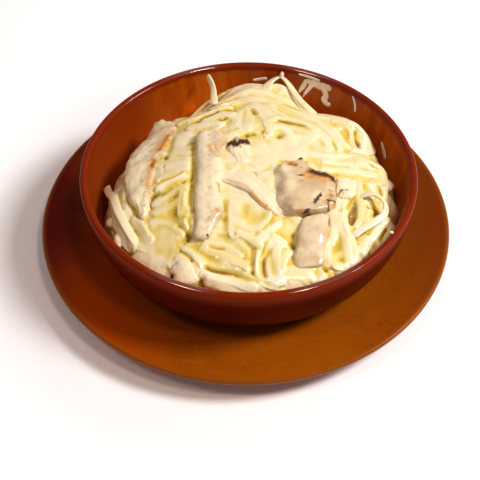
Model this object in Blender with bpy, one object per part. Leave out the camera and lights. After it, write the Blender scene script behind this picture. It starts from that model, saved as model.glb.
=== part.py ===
"""A bowl of fettuccine alfredo with grilled chicken, standing on its matching underplate.

Metres, +Z up.  The origin is the middle of the plate's foot, on the surface that the plate
stands on, and the diner sits on the -Y side.  Plate and bowl are turned profiles.  The pasta
is one solid that fills the bowl up to its mounded, uneven top, with a pocket for each piece of
chicken that lies in it.
"""
import math

import bmesh
import bpy
import numpy as np
from mathutils import Matrix, Vector

# ---- driving dimensions ----------------------------------------------------------------
GAP = 0.0003                # air between pieces that rest on each other
TURNS = 48                  # facets round every turned piece; the pasta uses the same ones

PLATE_RADIUS = 0.1362
PLATE_RIM_HEIGHT = 0.0165   # middle of the rounded lip, above the table
PLATE_LIP = 0.0040          # thickness at the lip
PLATE_WALL = 0.0048         # thickness elsewhere
WELL_RADIUS = 0.0800        # flat middle that the bowl stands on
WELL_HEIGHT = 0.0070
PLATE_FOOT_RADIUS = 0.0870
PLATE_FOOT_WIDTH = 0.0060
RIM_CURVE = 1.45            # power by which the plate rises from its well to its rim

BOWL_OFFSET = 0.00175       # the bowl stands this far to the right of the plate's middle
BOWL_RADIUS = 0.1075
BOWL_RIM_HEIGHT = 0.0612    # top of the lip, above the table
BOWL_WALL = 0.0049
BOWL_LIP = 0.0020           # height of the rounded lip over the top of the wall
BOWL_BASE_RADIUS = 0.0815   # where the flat base turns up into the wall
BOWL_FOOT_RADIUS = 0.0660
BOWL_FOOT_WIDTH = 0.0050
BOWL_FOOT_HEIGHT = 0.0030

HEAP_TOP = 0.0670           # the top of the mound, above the table
SHOULDER_HEIGHT = 0.0500    # where the mound's top turns down towards the wall
# how far out that shoulder is, every 45 degrees from +X towards the back: the pasta fills the
# bowl at the front and stands clear of the wall at the left and the back left
SHOULDER_RADII = (0.0920, 0.0860, 0.0940, 0.0800, 0.0820, 0.0970, 0.0990, 0.1000)
SIDE_SLOPE = 2.0            # the fall outside the shoulder, for each unit outwards
MOUND_POWER = 2.2           # of the mound's section: higher is flatter on top
SHOULDER_ROUNDING = 0.0015
HEAP_CLEARANCE = 0.0006     # the pasta's facets keep this far inside the bowl's
TANGLE_WAVE = 0.0016        # height of the ridges that the wound strands make
TANGLE_PITCH = 0.0240       # spacing of those ridges
TOP_RINGS = 15
WALL_RINGS = 7

# ---- heights that follow from them ------------------------------------------------------
BOWL_STAND = WELL_HEIGHT + GAP
BASE_UNDER = BOWL_STAND + BOWL_FOOT_HEIGHT
BOWL_FLOOR = BASE_UNDER + BOWL_WALL
WALL_TOP = BOWL_RIM_HEIGHT - BOWL_LIP


# ---- scene and materials ------------------------------------------------------------------
def clear_scene():
    for thing in list(bpy.data.objects):
        bpy.data.objects.remove(thing, do_unlink=True)


def material(name, color, roughness):
    """A plain Principled BSDF material; none of this object's materials is metal."""
    finish = bpy.data.materials.new(name)
    finish.use_nodes = True
    shader = finish.node_tree.nodes["Principled BSDF"]
    shader.inputs["Base Color"].default_value = (*color, 1.0)
    shader.inputs["Roughness"].default_value = roughness
    shader.inputs["Metallic"].default_value = 0.0
    finish.diffuse_color = (*color, 1.0)
    return finish


def add_object(name, mesh, finish, smooth_angle=None):
    mesh.materials.append(finish)
    if smooth_angle is not None:
        mesh.shade_smooth()
        mesh.set_sharp_from_angle(angle=math.radians(smooth_angle))
    piece = bpy.data.objects.new(name, mesh)
    bpy.context.scene.collection.objects.link(piece)
    return piece


# ---- turned ceramics ------------------------------------------------------------------------
def arc(center, radii, start, end, steps):
    """Points (r, z) on an elliptical arc, with the angles in degrees."""
    angles = np.radians(np.linspace(start, end, steps + 1))
    return [(center[0] + radii[0] * math.cos(a), center[1] + radii[1] * math.sin(a))
            for a in angles]


def turned(name, profile, offset, finish):
    """Spins a profile of (r, z) points, which runs from axis to axis, into a closed solid."""
    bm = bmesh.new()
    ring = [bm.verts.new((r, 0.0, z)) for r, z in profile]
    edges = [bm.edges.new(pair) for pair in zip(ring, ring[1:])]
    bmesh.ops.spin(bm, geom=ring + edges, axis=(0, 0, 1), cent=(0, 0, 0),
                   angle=2 * math.pi, steps=TURNS, use_merge=True)
    bmesh.ops.remove_doubles(bm, verts=bm.verts, dist=1e-6)
    bmesh.ops.recalc_face_normals(bm, faces=bm.faces)
    mesh = bpy.data.meshes.new(name)
    bm.to_mesh(mesh)
    bm.free()
    piece = add_object(name, mesh, finish, smooth_angle=35)
    piece.location.x = offset
    return piece


def plate_top(r):
    """Height of the plate's upper face: a flat well, then a steady rise to the rim."""
    outward = max(r - WELL_RADIUS, 0.0) / (PLATE_RADIUS - WELL_RADIUS)
    rise = PLATE_RIM_HEIGHT + PLATE_LIP / 2 - WELL_HEIGHT
    return WELL_HEIGHT + rise * outward ** RIM_CURVE


def plate_profile():
    lip_middle = PLATE_RADIUS - PLATE_LIP / 2
    outward = np.linspace(WELL_RADIUS, lip_middle, 7)
    inward = np.linspace(lip_middle - PLATE_LIP / 2, PLATE_FOOT_RADIUS + 0.001, 5)
    top = [(0.0, WELL_HEIGHT)] + [(r, plate_top(r)) for r in outward]
    lip = arc((lip_middle, PLATE_RIM_HEIGHT), (PLATE_LIP / 2, PLATE_LIP / 2), 60, -90, 4)
    under = [(r, plate_top(r) - PLATE_WALL) for r in inward]
    foot_inside = PLATE_FOOT_RADIUS - PLATE_FOOT_WIDTH
    foot = [(PLATE_FOOT_RADIUS, 0.0), (foot_inside, 0.0),
            (foot_inside - 0.001, WELL_HEIGHT - PLATE_WALL), (0.0, WELL_HEIGHT - PLATE_WALL)]
    return top + lip + under + foot


def inner_radius(z):
    """Radius of the bowl's inside at a height: a quarter of an ellipse, upright at the lip."""
    climb = np.clip((z - BOWL_FLOOR) / (WALL_TOP - BOWL_FLOOR), 0.0, 1.0)
    base = BOWL_BASE_RADIUS - BOWL_WALL / 2
    return base + (BOWL_RADIUS - BOWL_WALL - base) * np.sqrt(1.0 - (1.0 - climb) ** 2)


def bowl_profile():
    inside_base = BOWL_BASE_RADIUS - BOWL_WALL / 2
    inside = arc((inside_base, WALL_TOP),
                 (BOWL_RADIUS - BOWL_WALL - inside_base, WALL_TOP - BOWL_FLOOR), -90, 0, 9)
    lip = arc((BOWL_RADIUS - BOWL_WALL / 2, WALL_TOP), (BOWL_WALL / 2, BOWL_LIP), 180, 0, 5)
    outside = arc((BOWL_BASE_RADIUS, WALL_TOP),
                  (BOWL_RADIUS - BOWL_BASE_RADIUS, WALL_TOP - BASE_UNDER), 0, -90, 8)
    foot_inside = BOWL_FOOT_RADIUS - BOWL_FOOT_WIDTH
    foot = [(BOWL_FOOT_RADIUS + 0.001, BASE_UNDER), (BOWL_FOOT_RADIUS, BOWL_STAND),
            (foot_inside, BOWL_STAND), (foot_inside - 0.001, BASE_UNDER), (0.0, BASE_UNDER)]
    return [(0.0, BOWL_FLOOR)] + inside + lip[1:-1] + outside + foot


# ---- the pasta ----------------------------------------------------------------------------------
def shoulder_radius(angle):
    """SHOULDER_RADII joined into one smooth closed curve by its Fourier terms."""
    terms = np.fft.rfft(SHOULDER_RADII) / len(SHOULDER_RADII)
    radius = np.full_like(angle, terms[0].real)
    for k, term in enumerate(terms[1:], start=1):
        share = 1.0 if 2 * k == len(SHOULDER_RADII) else 2.0
        radius = radius + share * (term.real * np.cos(k * angle) - term.imag * np.sin(k * angle))
    return radius


def mound(r, angle):
    """Height of the heap: a dome inside the shoulder and a steep fall outside it, whichever is
    lower, with the shoulder rounded between them."""
    shoulder = shoulder_radius(angle)
    dome = (HEAP_TOP - SHOULDER_HEIGHT) * (1.0 - (r / shoulder) ** MOUND_POWER)
    fall = SIDE_SLOPE * (shoulder - r)
    soft = np.exp(-dome / SHOULDER_ROUNDING) + np.exp(-fall / SHOULDER_ROUNDING)
    return SHOULDER_HEIGHT - SHOULDER_ROUNDING * np.log(soft)


def heap_height(x, y):
    x = np.asarray(x, float) - BOWL_OFFSET
    return mound(np.hypot(x, y), np.arctan2(y, x))


def heap_reach(angle):
    """Radius where the mound meets the bowl's wall, closed in on by halving steps."""
    reach = np.full_like(angle, 0.9 * BOWL_RADIUS)
    for _ in range(40):
        wall = inner_radius(mound(reach, angle)) - HEAP_CLEARANCE
        reach = (reach + wall) / 2
    return reach


def tangle(x, y):
    """Ridges of the wound strands: one wave coiled round the heap and one that crosses it,
    both fading out at the wall and in the middle."""
    x = np.asarray(x, float) - BOWL_OFFSET
    r = np.hypot(x, y)
    coiled = np.sin(2 * math.pi * r / TANGLE_PITCH + 2.0 * np.sin(3.0 * np.arctan2(y, x)))
    crossing = np.sin(2 * math.pi * (x + 0.6 * y) / (1.4 * TANGLE_PITCH))
    fade = np.clip(r / 0.02, 0.0, 1.0) * np.clip((0.095 - r) / 0.02, 0.0, 1.0)
    return TANGLE_WAVE * fade * (0.6 * coiled + 0.4 * crossing)


def heap_rings():
    """Rings of points from the heap's top out to the wall, then down the wall to the floor."""
    angle = np.arange(TURNS) * 2 * math.pi / TURNS
    reach = heap_reach(angle)
    edge = mound(reach, angle)
    rings = []
    for outward in (np.arange(1, TOP_RINGS + 1) / TOP_RINGS) ** 0.85:
        x = BOWL_OFFSET + reach * outward * np.cos(angle)
        y = reach * outward * np.sin(angle)
        rings.append(np.stack([x, y, heap_height(x, y) + tangle(x, y)], axis=1))
    floor = BOWL_FLOOR + HEAP_CLEARANCE
    for down in np.arange(1, WALL_RINGS + 1) / WALL_RINGS:
        z = edge + (floor - edge) * math.sin(down * math.pi / 2)
        r = inner_radius(z - HEAP_CLEARANCE) - HEAP_CLEARANCE
        x = BOWL_OFFSET + r * np.cos(angle)
        rings.append(np.stack([x, r * np.sin(angle), z], axis=1))
    return rings


def heap_mesh():
    bm = bmesh.new()
    rings = [[bm.verts.new(point) for point in ring] for ring in heap_rings()]
    peak = bm.verts.new((BOWL_OFFSET, 0.0, float(heap_height(BOWL_OFFSET, 0.0))))
    for above, below in zip(rings, rings[1:]):
        for k in range(TURNS):
            ahead = (k + 1) % TURNS
            bm.faces.new((above[k], below[k], below[ahead], above[ahead]))
    for k in range(TURNS):
        bm.faces.new((peak, rings[0][k], rings[0][(k + 1) % TURNS]))
    bm.faces.new(rings[-1][::-1])
    bmesh.ops.triangulate(bm, faces=bm.faces)
    bmesh.ops.recalc_face_normals(bm, faces=bm.faces)
    mesh = bpy.data.meshes.new("pasta")
    bm.to_mesh(mesh)
    bm.free()
    return mesh


# ---- the chicken -------------------------------------------------------------------------------
# A piece is a thick slice laid on the mound along a gentle bow.  In its path, start and end are
# (x, y) in mm, bow is how far its middle swings to the left of the line from start to end, lift
# raises its middle over the mound, roll tips it about its length in degrees, and pitch drops its
# end.  wide and thick are its sizes across in mm, and ends are the powers of its outline's two
# halves: 2 tapers like an almond, 6 is as square as a brick.
def path(start, end, bow=0.0, lift=0.0, roll=0.0, pitch=0.0):
    return dict(start=start, end=end, bow=bow, lift=lift, roll=roll, pitch=pitch)


CHICKEN = {
    "chicken_left": dict(path=path((-53, 56), (-62, -47), bow=-9, lift=1.0, roll=-30),
                         wide=19, thick=9, ends=(3.5, 1.8)),
    "chicken_centre": dict(path=path((-20, 33), (-27.5, -63), bow=-1, lift=2.0, roll=6),
                           wide=15.5, thick=9, ends=(4.0, 3.0)),
    "chicken_char": dict(path=path((-8, 22), (0, 3)), wide=16, thick=9, ends=(3.0, 3.0)),
    "chicken_middle": dict(path=path((-16, -8), (13, -49), bow=4, lift=-0.5, roll=10),
                           wide=11, thick=8, ends=(2.6, 2.2)),
    "chicken_block": dict(path=path((41, 3), (30, -45), lift=3.0, roll=8, pitch=1.5),
                          wide=29, thick=13, ends=(3.6, 3.6)),
    "chicken_small": dict(path=path((73, -9), (57, -36), bow=-2, lift=1.0, roll=-8),
                          wide=15, thick=9, ends=(3.0, 3.0)),
    "chicken_front_right": dict(path=path((41, -48), (34, -84), bow=-1, lift=1.5, roll=5,
                                          pitch=1.0),
                                wide=21, thick=9, ends=(4.0, 4.0)),
    "chicken_right": dict(path=path((90, 0), (89, -24), bow=1, roll=30),
                          wide=11, thick=8, ends=(2.5, 2.5)),
    "chicken_front": dict(path=path((-47, -78), (-33, -91), bow=2), wide=19, thick=10,
                          ends=(2.4, 2.4)),
}
SLICE_STATIONS = 10
SLICE_SIDES = 10
SECTION_SQUARE = 2.6        # power of a slice's section: rounded, with flattish faces


def slice_frames(start, end, bow, lift, roll, pitch):
    """Middle points of a slice, and its directions across and up, at each station."""
    start, end = Vector(start) / 1000, Vector(end) / 1000
    side = Vector((start.y - end.y, end.x - start.x)).normalized()
    middle = (start + end) / 2 + side * (2 * bow / 1000)
    line = []
    for k in range(SLICE_STATIONS + 1):
        t = k / SLICE_STATIONS
        flat = (1 - t) ** 2 * start + 2 * t * (1 - t) * middle + t ** 2 * end
        height = float(heap_height(flat.x, flat.y)) + (lift - pitch * t) / 1000
        line.append(Vector((flat.x, flat.y, height)))
    axes = []
    for before, after in zip([line[0]] + line[:-1], line[1:] + [line[-1]]):
        along = (after - before).normalized()
        tip = Matrix.Rotation(math.radians(roll), 3, along)
        across = tip @ along.cross(Vector((0, 0, 1))).normalized()
        axes.append((across, across.cross(along)))
    return line, axes


def superellipse(sides, power):
    """Points (c, s) round a unit superellipse."""
    angles = [2 * math.pi * (k + 0.5) / sides for k in range(sides)]
    return [(math.copysign(abs(math.cos(a)) ** (2 / power), math.cos(a)),
             math.copysign(abs(math.sin(a)) ** (2 / power), math.sin(a))) for a in angles]


def slice_mesh(name, path, wide, thick, ends, grow=0.0):
    """A closed slice along a path; grow swells it by that much all round."""
    line, axes = slice_frames(**path)
    section = superellipse(SLICE_SIDES, SECTION_SQUARE)
    bm = bmesh.new()
    rings = []
    for k in range(1, SLICE_STATIONS):
        from_middle = 2 * k / SLICE_STATIONS - 1
        blunt = ends[0] if from_middle < 0 else ends[1]
        taper = (1 - abs(from_middle) ** blunt) ** (1 / blunt)
        half_wide = wide / 2000 * taper + grow
        half_thick = thick / 2000 * taper ** 0.6 + grow
        across, up = axes[k]
        rings.append([bm.verts.new(line[k] + across * (c * half_wide) + up * (s * half_thick))
                      for c, s in section])
    for ring, nearer in zip(rings, rings[1:]):
        for k in range(SLICE_SIDES):
            ahead = (k + 1) % SLICE_SIDES
            bm.faces.new((ring[k], nearer[k], nearer[ahead], ring[ahead]))
    first = line[0] + (line[0] - line[1]).normalized() * grow
    last = line[-1] + (line[-1] - line[-2]).normalized() * grow
    for ring, point in ((rings[0], first), (rings[-1], last)):
        tip = bm.verts.new(point)
        for k in range(SLICE_SIDES):
            bm.faces.new((tip, ring[k], ring[(k + 1) % SLICE_SIDES]))
    bmesh.ops.triangulate(bm, faces=bm.faces)
    bmesh.ops.recalc_face_normals(bm, faces=bm.faces)
    mesh = bpy.data.meshes.new(name)
    bm.to_mesh(mesh)
    bm.free()
    return mesh


def lay_chicken(heap, finish):
    """Adds each slice, and cuts a pocket for it into the heap with a slightly larger copy."""
    for name, spec in CHICKEN.items():
        add_object(name, slice_mesh(name, **spec), finish, smooth_angle=50)
        cutter = add_object(name + "_pocket", slice_mesh(name + "_pocket", grow=GAP, **spec),
                            finish)
        cutter.hide_render = True
        cutter.display_type = "WIRE"
        cut = heap.modifiers.new(name + "_pocket", "BOOLEAN")
        cut.operation = "DIFFERENCE"
        cut.object = cutter


# ---- the whole ---------------------------------------------------------------------------------
def build():
    clear_scene()
    glaze_amber = material("amber_glaze", (0.36, 0.095, 0.010), 0.18)
    glaze_brown = material("red_brown_glaze", (0.16, 0.025, 0.006), 0.14)
    sauced = material("cream_sauced_pasta", (0.90, 0.76, 0.42), 0.30)
    meat = material("grilled_chicken", (0.80, 0.62, 0.42), 0.45)
    turned("plate", plate_profile(), 0.0, glaze_amber)
    turned("bowl", bowl_profile(), BOWL_OFFSET, glaze_brown)
    heap = add_object("pasta", heap_mesh(), sauced, smooth_angle=60)
    lay_chicken(heap, meat)


build()
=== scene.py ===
"""The looks of a bowl of fettuccine alfredo with grilled chicken on its matching underplate.

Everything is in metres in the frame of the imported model: +Z up, the diner on the -Y side, and
the origin in the middle of the plate's foot.
"""
import math

import bpy
import numpy as np
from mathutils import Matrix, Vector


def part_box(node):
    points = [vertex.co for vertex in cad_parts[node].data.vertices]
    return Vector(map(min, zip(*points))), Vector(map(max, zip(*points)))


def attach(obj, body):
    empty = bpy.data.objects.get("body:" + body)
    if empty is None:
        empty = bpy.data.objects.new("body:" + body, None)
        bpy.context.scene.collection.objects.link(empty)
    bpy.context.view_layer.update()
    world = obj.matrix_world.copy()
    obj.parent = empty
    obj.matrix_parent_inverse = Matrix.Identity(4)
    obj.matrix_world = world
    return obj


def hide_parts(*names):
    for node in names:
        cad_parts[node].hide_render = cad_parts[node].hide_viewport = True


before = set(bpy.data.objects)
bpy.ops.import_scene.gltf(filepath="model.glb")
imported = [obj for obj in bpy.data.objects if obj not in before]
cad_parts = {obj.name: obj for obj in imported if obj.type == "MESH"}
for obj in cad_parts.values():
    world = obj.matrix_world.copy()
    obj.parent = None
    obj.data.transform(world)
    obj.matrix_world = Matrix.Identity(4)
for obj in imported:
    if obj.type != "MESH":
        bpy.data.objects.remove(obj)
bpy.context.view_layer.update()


# ---- camera -------------------------------------------------------------------------------------
# A camera with a fairly long lens looks down at the table from the diner's side, as one looks
# at a dish that has just been set down.  It aims at a point a little under the plate's middle.
SIGHT_ELEVATION = math.radians(48.456)
SIGHT_DISTANCE = 0.6293
SIGHT_AIM = (-0.003756, 0.0, -0.011483)

camera = bpy.data.objects.new("camera", bpy.data.cameras.new("camera"))
camera.data.lens = 67.5
camera.data.sensor_width = 36.0
camera.data.clip_start = 0.01
camera.location = (SIGHT_AIM[0],
                   SIGHT_AIM[1] - SIGHT_DISTANCE * math.cos(SIGHT_ELEVATION),
                   SIGHT_AIM[2] + SIGHT_DISTANCE * math.sin(SIGHT_ELEVATION))
camera.rotation_euler = (math.pi / 2 - SIGHT_ELEVATION, 0.0, 0.0)
bpy.context.scene.collection.objects.link(camera)
bpy.context.scene.camera = camera
bpy.context.scene.view_settings.view_transform = "Standard"


# ---- studio -------------------------------------------------------------------------------------
# A white paper sweep on the table, a large soft box at the right of the dish, two smaller ones
# overhead whose glints run along the lips, and white walls all round that fill the shadows.
class Signal:
    """One socket of a shader.  Sums on signals add Math nodes, and node() adds any other node."""

    def __init__(self, tree, socket):
        self.tree = tree
        self.socket = socket

    def node(self, kind, settings=None, inputs=None, output=0):
        """Adds a node: first its settings, then the values or links of its sockets."""
        made = self.tree.nodes.new(kind)
        for key, value in (settings or {}).items():
            setattr(made, key, value)
        for key, value in (inputs or {}).items():
            if isinstance(value, Signal):
                self.tree.links.new(value.socket, made.inputs[key])
            else:
                made.inputs[key].default_value = value
        return Signal(self.tree, made.outputs[output])

    def math(self, operation, first, second=0.0):
        """The Math node of an operation on two signals or numbers."""
        return self.node("ShaderNodeMath", {"operation": operation}, {0: first, 1: second})

    def __add__(self, other):
        return self.math("ADD", self, other)

    def __sub__(self, other):
        return self.math("SUBTRACT", self, other)

    def __rsub__(self, other):
        return self.math("SUBTRACT", other, self)

    def __mul__(self, other):
        return self.math("MULTIPLY", self, other)

    def __pow__(self, other):
        return self.math("POWER", self, other)

    __radd__ = __add__
    __rmul__ = __mul__

    def between(self, low, high):
        """0 below low, 1 above high, and a smooth step between them."""
        return self.node("ShaderNodeMapRange", {"interpolation_type": "SMOOTHSTEP"},
                         {0: self, 1: low, 2: high})

    def mixed(self, first, second):
        """The colour first where this signal is 0 and second where it is 1."""
        paints = [(*c, 1.0) if isinstance(c, tuple) else c for c in (first, second)]
        return self.node("ShaderNodeMix", {"data_type": "RGBA"},
                         {0: self, 6: paints[0], 7: paints[1]}, output=2)

    def noise(self, scale, detail=2.0, stretch=(1.0, 1.0, 1.0)):
        """Cloudy noise on this vector, with its scale given for one metre."""
        place = self.node("ShaderNodeMapping", {}, {"Vector": self, "Scale": stretch})
        return self.node("ShaderNodeTexNoise", {}, {
            "Vector": place, "Scale": scale, "Detail": detail})

    def part(self, axis):
        """This vector's part along an axis: 0 is X, 1 is Y and 2 is Z."""
        return self.node("ShaderNodeSeparateXYZ", {}, {0: self}, output=axis)

    def off_axis(self, center_x=0.0):
        """This place's distance from the upright axis through (center_x, 0)."""
        flat = self.node("ShaderNodeMapping", {}, {
            "Vector": self, "Location": (-center_x, 0, 0), "Scale": (1, 1, 0)})
        return self.node("ShaderNodeVectorMath", {"operation": "LENGTH"}, {0: flat}, output=1)


def new_finish(name, constants):
    """A material with the constants set on its Principled BSDF, and a signal of its place."""
    finish = bpy.data.materials.new(name)
    finish.use_nodes = True
    tree = finish.node_tree
    shader = tree.nodes["Principled BSDF"]
    for key, value in constants.items():
        shader.inputs[key].default_value = value
    coordinates = tree.nodes.new("ShaderNodeTexCoord")
    return finish, Signal(tree, coordinates.outputs["Object"])


def connect(finish, name, signal):
    """Leads a signal into a socket of the finish's Principled BSDF."""
    finish.node_tree.links.new(
        signal.socket, finish.node_tree.nodes["Principled BSDF"].inputs[name])


def emboss(finish, height, strength, distance):
    """Raises the finish by a signal of its height, in a Bump node that feeds its normal."""
    connect(finish, "Normal", height.node(
        "ShaderNodeBump", {}, {"Height": height, "Strength": strength, "Distance": distance}))


def add_piece(name, points, faces, finish):
    """A smooth mesh object at the origin, with all its place in its points."""
    mesh = bpy.data.meshes.new(name)
    mesh.from_pydata(points, [], faces)
    mesh.update()
    mesh.materials.append(finish)
    mesh.shade_smooth()
    piece = bpy.data.objects.new(name, mesh)
    bpy.context.scene.collection.objects.link(piece)
    return piece


FLOOR_HALF = 3.0
PAPER_GLOW = 0.12
GLOW_FROM, GLOW_FULL = 0.165, 0.215     # distances from the plate's middle
PAPER_NEAR, PAPER_FAR = (0.94, 0.93, 0.94), (0.94, 0.94, 0.95)
BLACK, WHITE = (0.0, 0.0, 0.0), (1.0, 1.0, 1.0)

# the sheet glows, as painted light, but for the place where the dish stands
paper, place = new_finish("white_paper", {
    "Roughness": 0.9, "Specular IOR Level": 0.1, "Emission Strength": PAPER_GLOW})
far_off = (place.off_axis() + 0.01 * place.noise(20.0)).between(GLOW_FROM, GLOW_FULL)
connect(paper, "Base Color", far_off.mixed(PAPER_NEAR, PAPER_FAR))
connect(paper, "Emission Color", far_off.mixed(BLACK, WHITE))
floor = add_piece("floor", [(-FLOOR_HALF, -FLOOR_HALF, 0), (FLOOR_HALF, -FLOOR_HALF, 0),
                            (FLOOR_HALF, FLOOR_HALF, 0), (-FLOOR_HALF, FLOOR_HALF, 0)],
                  [(0, 1, 2, 3)], paper)


LIGHT_DISTANCE = 2.0
WARM_LIGHT = (1.0, 0.76, 0.58)
WALL_LIGHT = (1.0, 0.90, 0.96, 1.0)
WALL_STRENGTH = 0.22


def soft_box(name, direction, size, watts, color):
    """A square soft box in a direction from the dish, turned to face it."""
    lamp = bpy.data.lights.new(name, "AREA")
    lamp.shape = "SQUARE"
    lamp.size = size
    lamp.energy = watts
    lamp.color = color
    holder = bpy.data.objects.new(name, lamp)
    holder.location = np.array(direction) / np.linalg.norm(direction) * LIGHT_DISTANCE
    holder.rotation_euler = holder.location.to_track_quat("Z", "Y").to_euler()
    bpy.context.scene.collection.objects.link(holder)


soft_box("soft_box_right", (0.70, 0.00, 0.71), 0.50, 39.0, WHITE)
soft_box("overhead_right", (0.30, -0.25, 0.92), 0.30, 7.5, WARM_LIGHT)
soft_box("overhead_left", (-0.38, -0.25, 0.90), 0.30, 5.0, WARM_LIGHT)

walls = bpy.data.worlds.new("white_walls")
walls.use_nodes = True
walls.node_tree.nodes["Background"].inputs["Color"].default_value = WALL_LIGHT
walls.node_tree.nodes["Background"].inputs["Strength"].default_value = WALL_STRENGTH
bpy.context.scene.world = walls


# ---- underplate ---------------------------------------------------------------------------------
# A stoneware plate, turned on a wheel with a flat well and one long sweep up to its rounded lip.
# It is dipped in a honey-brown glaze, which runs thin and pale on the lip, and its foot is bare.
LATHE_STEPS = 240


def closed_skin(rings):
    """Points and faces of a closed skin through rings of points, all of the same count.

    Each point is joined to its neighbours round its ring and to the same places in the rings
    before and after it; fans to their middle points close the first ring and the last.  The
    faces point outwards where each ring runs clockwise, seen along the way of the rings.
    """
    count, around = rings.shape[:2]
    here = np.arange(around)
    after = (here + 1) % around
    rows = np.arange(count - 1)[:, None] * around
    walls = np.stack([rows + here, rows + around + here, rows + around + after, rows + after],
                     axis=-1)
    last = (count - 1) * around
    start_fan = np.stack([here, after, np.full(around, count * around)], axis=-1)
    end_fan = np.stack([last + after, last + here, np.full(around, count * around + 1)], axis=-1)
    points = np.vstack([rings.reshape(-1, 3), rings[0].mean(axis=0), rings[-1].mean(axis=0)])
    return points, walls.reshape(-1, 4).tolist() + start_fan.tolist() + end_fan.tolist()


def all_round(count):
    """Angles in radians, count of them at equal steps from 0 once round."""
    return np.arange(count) * 2 * np.pi / count


def turned(profile, center_x):
    """Rings of a profile of (r, z) pairs turned about the Z axis through center_x.

    x = center_x + r cos(a), y = r sin(a), and z as given, for every angle a of the round.
    """
    angles = all_round(LATHE_STEPS)
    r, z = profile[:, :1], profile[:, 1:]
    return np.stack([center_x + r * np.cos(angles), r * np.sin(angles), z + 0 * angles], axis=-1)


def arc(center, radii, start, stop, steps):
    """(r, z) points on an elliptical arc about center, from start to stop in degrees."""
    a = np.radians(np.linspace(start, stop, steps))
    return np.stack([center[0] + radii[0] * np.cos(a), center[1] + radii[1] * np.sin(a)], axis=-1)


FOOT_BEVEL = 0.0006


def foot_tread(outer, inner, ground, rounding):
    """(r, z) points of the flat that a foot ring stands on, with both its edges taken off."""
    return [(outer, ground + rounding), (outer - FOOT_BEVEL, ground),
            (inner + FOOT_BEVEL, ground), (inner, ground + rounding)]


plate_low, plate_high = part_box("plate")
PLATE_RADIUS = (plate_high.x - plate_low.x) / 2
PLATE_LIP = 0.0040
PLATE_WALL = 0.0047
WELL_RADIUS = 0.0800
WELL_HEIGHT = 0.0070
FOOT_RADIUS = 0.0870
FOOT_WIDTH = 0.0060
RIM_CURVE = 1.45            # the power by which the rim sweeps up

lip_height = plate_high.z - PLATE_LIP / 2
lip_middle = PLATE_RADIUS - PLATE_LIP / 2


def sweep(r):
    """Height of the plate's upper face, a power of the way out from the well to the lip."""
    outward = np.maximum(r - WELL_RADIUS, 0.0) / (PLATE_RADIUS - WELL_RADIUS)
    return WELL_HEIGHT + (lip_height + PLATE_LIP / 2 - WELL_HEIGHT) * outward ** RIM_CURVE


reach = np.linspace(WELL_RADIUS, lip_middle, 24)
under = np.linspace(lip_middle - PLATE_LIP / 2, FOOT_RADIUS + 0.0015, 18)
foot_in = FOOT_RADIUS - FOOT_WIDTH
hollow = WELL_HEIGHT - PLATE_WALL
plate_profile = np.vstack([
    [(0.03, WELL_HEIGHT), (0.06, WELL_HEIGHT)],
    np.stack([reach, sweep(reach)], axis=-1)[:-1],
    arc((lip_middle, lip_height), (PLATE_LIP / 2, PLATE_LIP / 2), 75, -90, 12),
    np.stack([under, sweep(under) - PLATE_WALL], axis=-1),
    [(FOOT_RADIUS + FOOT_BEVEL, 2 * FOOT_BEVEL)],
    foot_tread(FOOT_RADIUS, foot_in, 0.0, FOOT_BEVEL / 2),
    [(foot_in - FOOT_BEVEL, 2 * FOOT_BEVEL), (foot_in - 2 * FOOT_BEVEL, hollow),
     (0.04, hollow)]])

HONEY_DEEP, HONEY = (0.225, 0.044, 0.0010), (0.310, 0.073, 0.0018)
HONEY_RUBBED, HONEY_PAINTED_LIGHT = (0.285, 0.062, 0.0016), (0.340, 0.046, 0.0010)
HONEY_PAINTED_SHADE, HONEY_THIN = (0.115, 0.0030, 0.0004), (0.23, 0.055, 0.003)
PLATE_CLAY = (0.46, 0.27, 0.15)

plate_glaze, place = new_finish("honey_glaze", {
    "Specular IOR Level": 0.25, "Roughness": 0.3, "Specular Tint": (1.0, 0.55, 0.30, 1.0)})
clouds = place.noise(22.0, detail=4.0)
grain = place.noise(420.0, detail=3.0)
brushed = place.noise(60.0, stretch=(1.0, 1.0, 6.0))
body = (clouds * 0.7 + grain * 0.3).between(0.32, 0.68).mixed(HONEY_DEEP, HONEY)
rubbed = brushed.between(0.45, 0.75).mixed(body, HONEY_RUBBED)
# towards its left the glaze is painted warmer and brighter, as painted light, and further left and
# towards its right it is painted dark red, as painted shade where the bowl's shadow falls
leftward = 0.05 * clouds - place.part(0)
rightward = 0.05 * clouds + place.part(0)
painted_light_warm = leftward.between(0.05, 0.11).mixed(rubbed, HONEY_PAINTED_LIGHT)
painted_shade_red = (leftward.between(0.118, 0.156) + 0.6 * rightward.between(0.09, 0.18)).mixed(
    painted_light_warm, HONEY_PAINTED_SHADE)
thin = (place.off_axis() - 0.0010 * grain).between(PLATE_RADIUS - 0.0042, PLATE_RADIUS - 0.0016)
bare = 1.0 - (place.part(2) + 0.0004 * grain).between(0.0008, 0.0016)
connect(plate_glaze, "Base Color", bare.mixed(thin.mixed(painted_shade_red, HONEY_THIN), PLATE_CLAY))
connect(plate_glaze, "Roughness", 0.26 + 0.10 * grain + 0.4 * bare)
emboss(plate_glaze, grain * 0.4 + clouds, 0.16, 0.0006)

plate = add_piece("underplate", *closed_skin(turned(plate_profile, 0.0)), plate_glaze)
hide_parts("plate")
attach(plate, "root")


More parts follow.
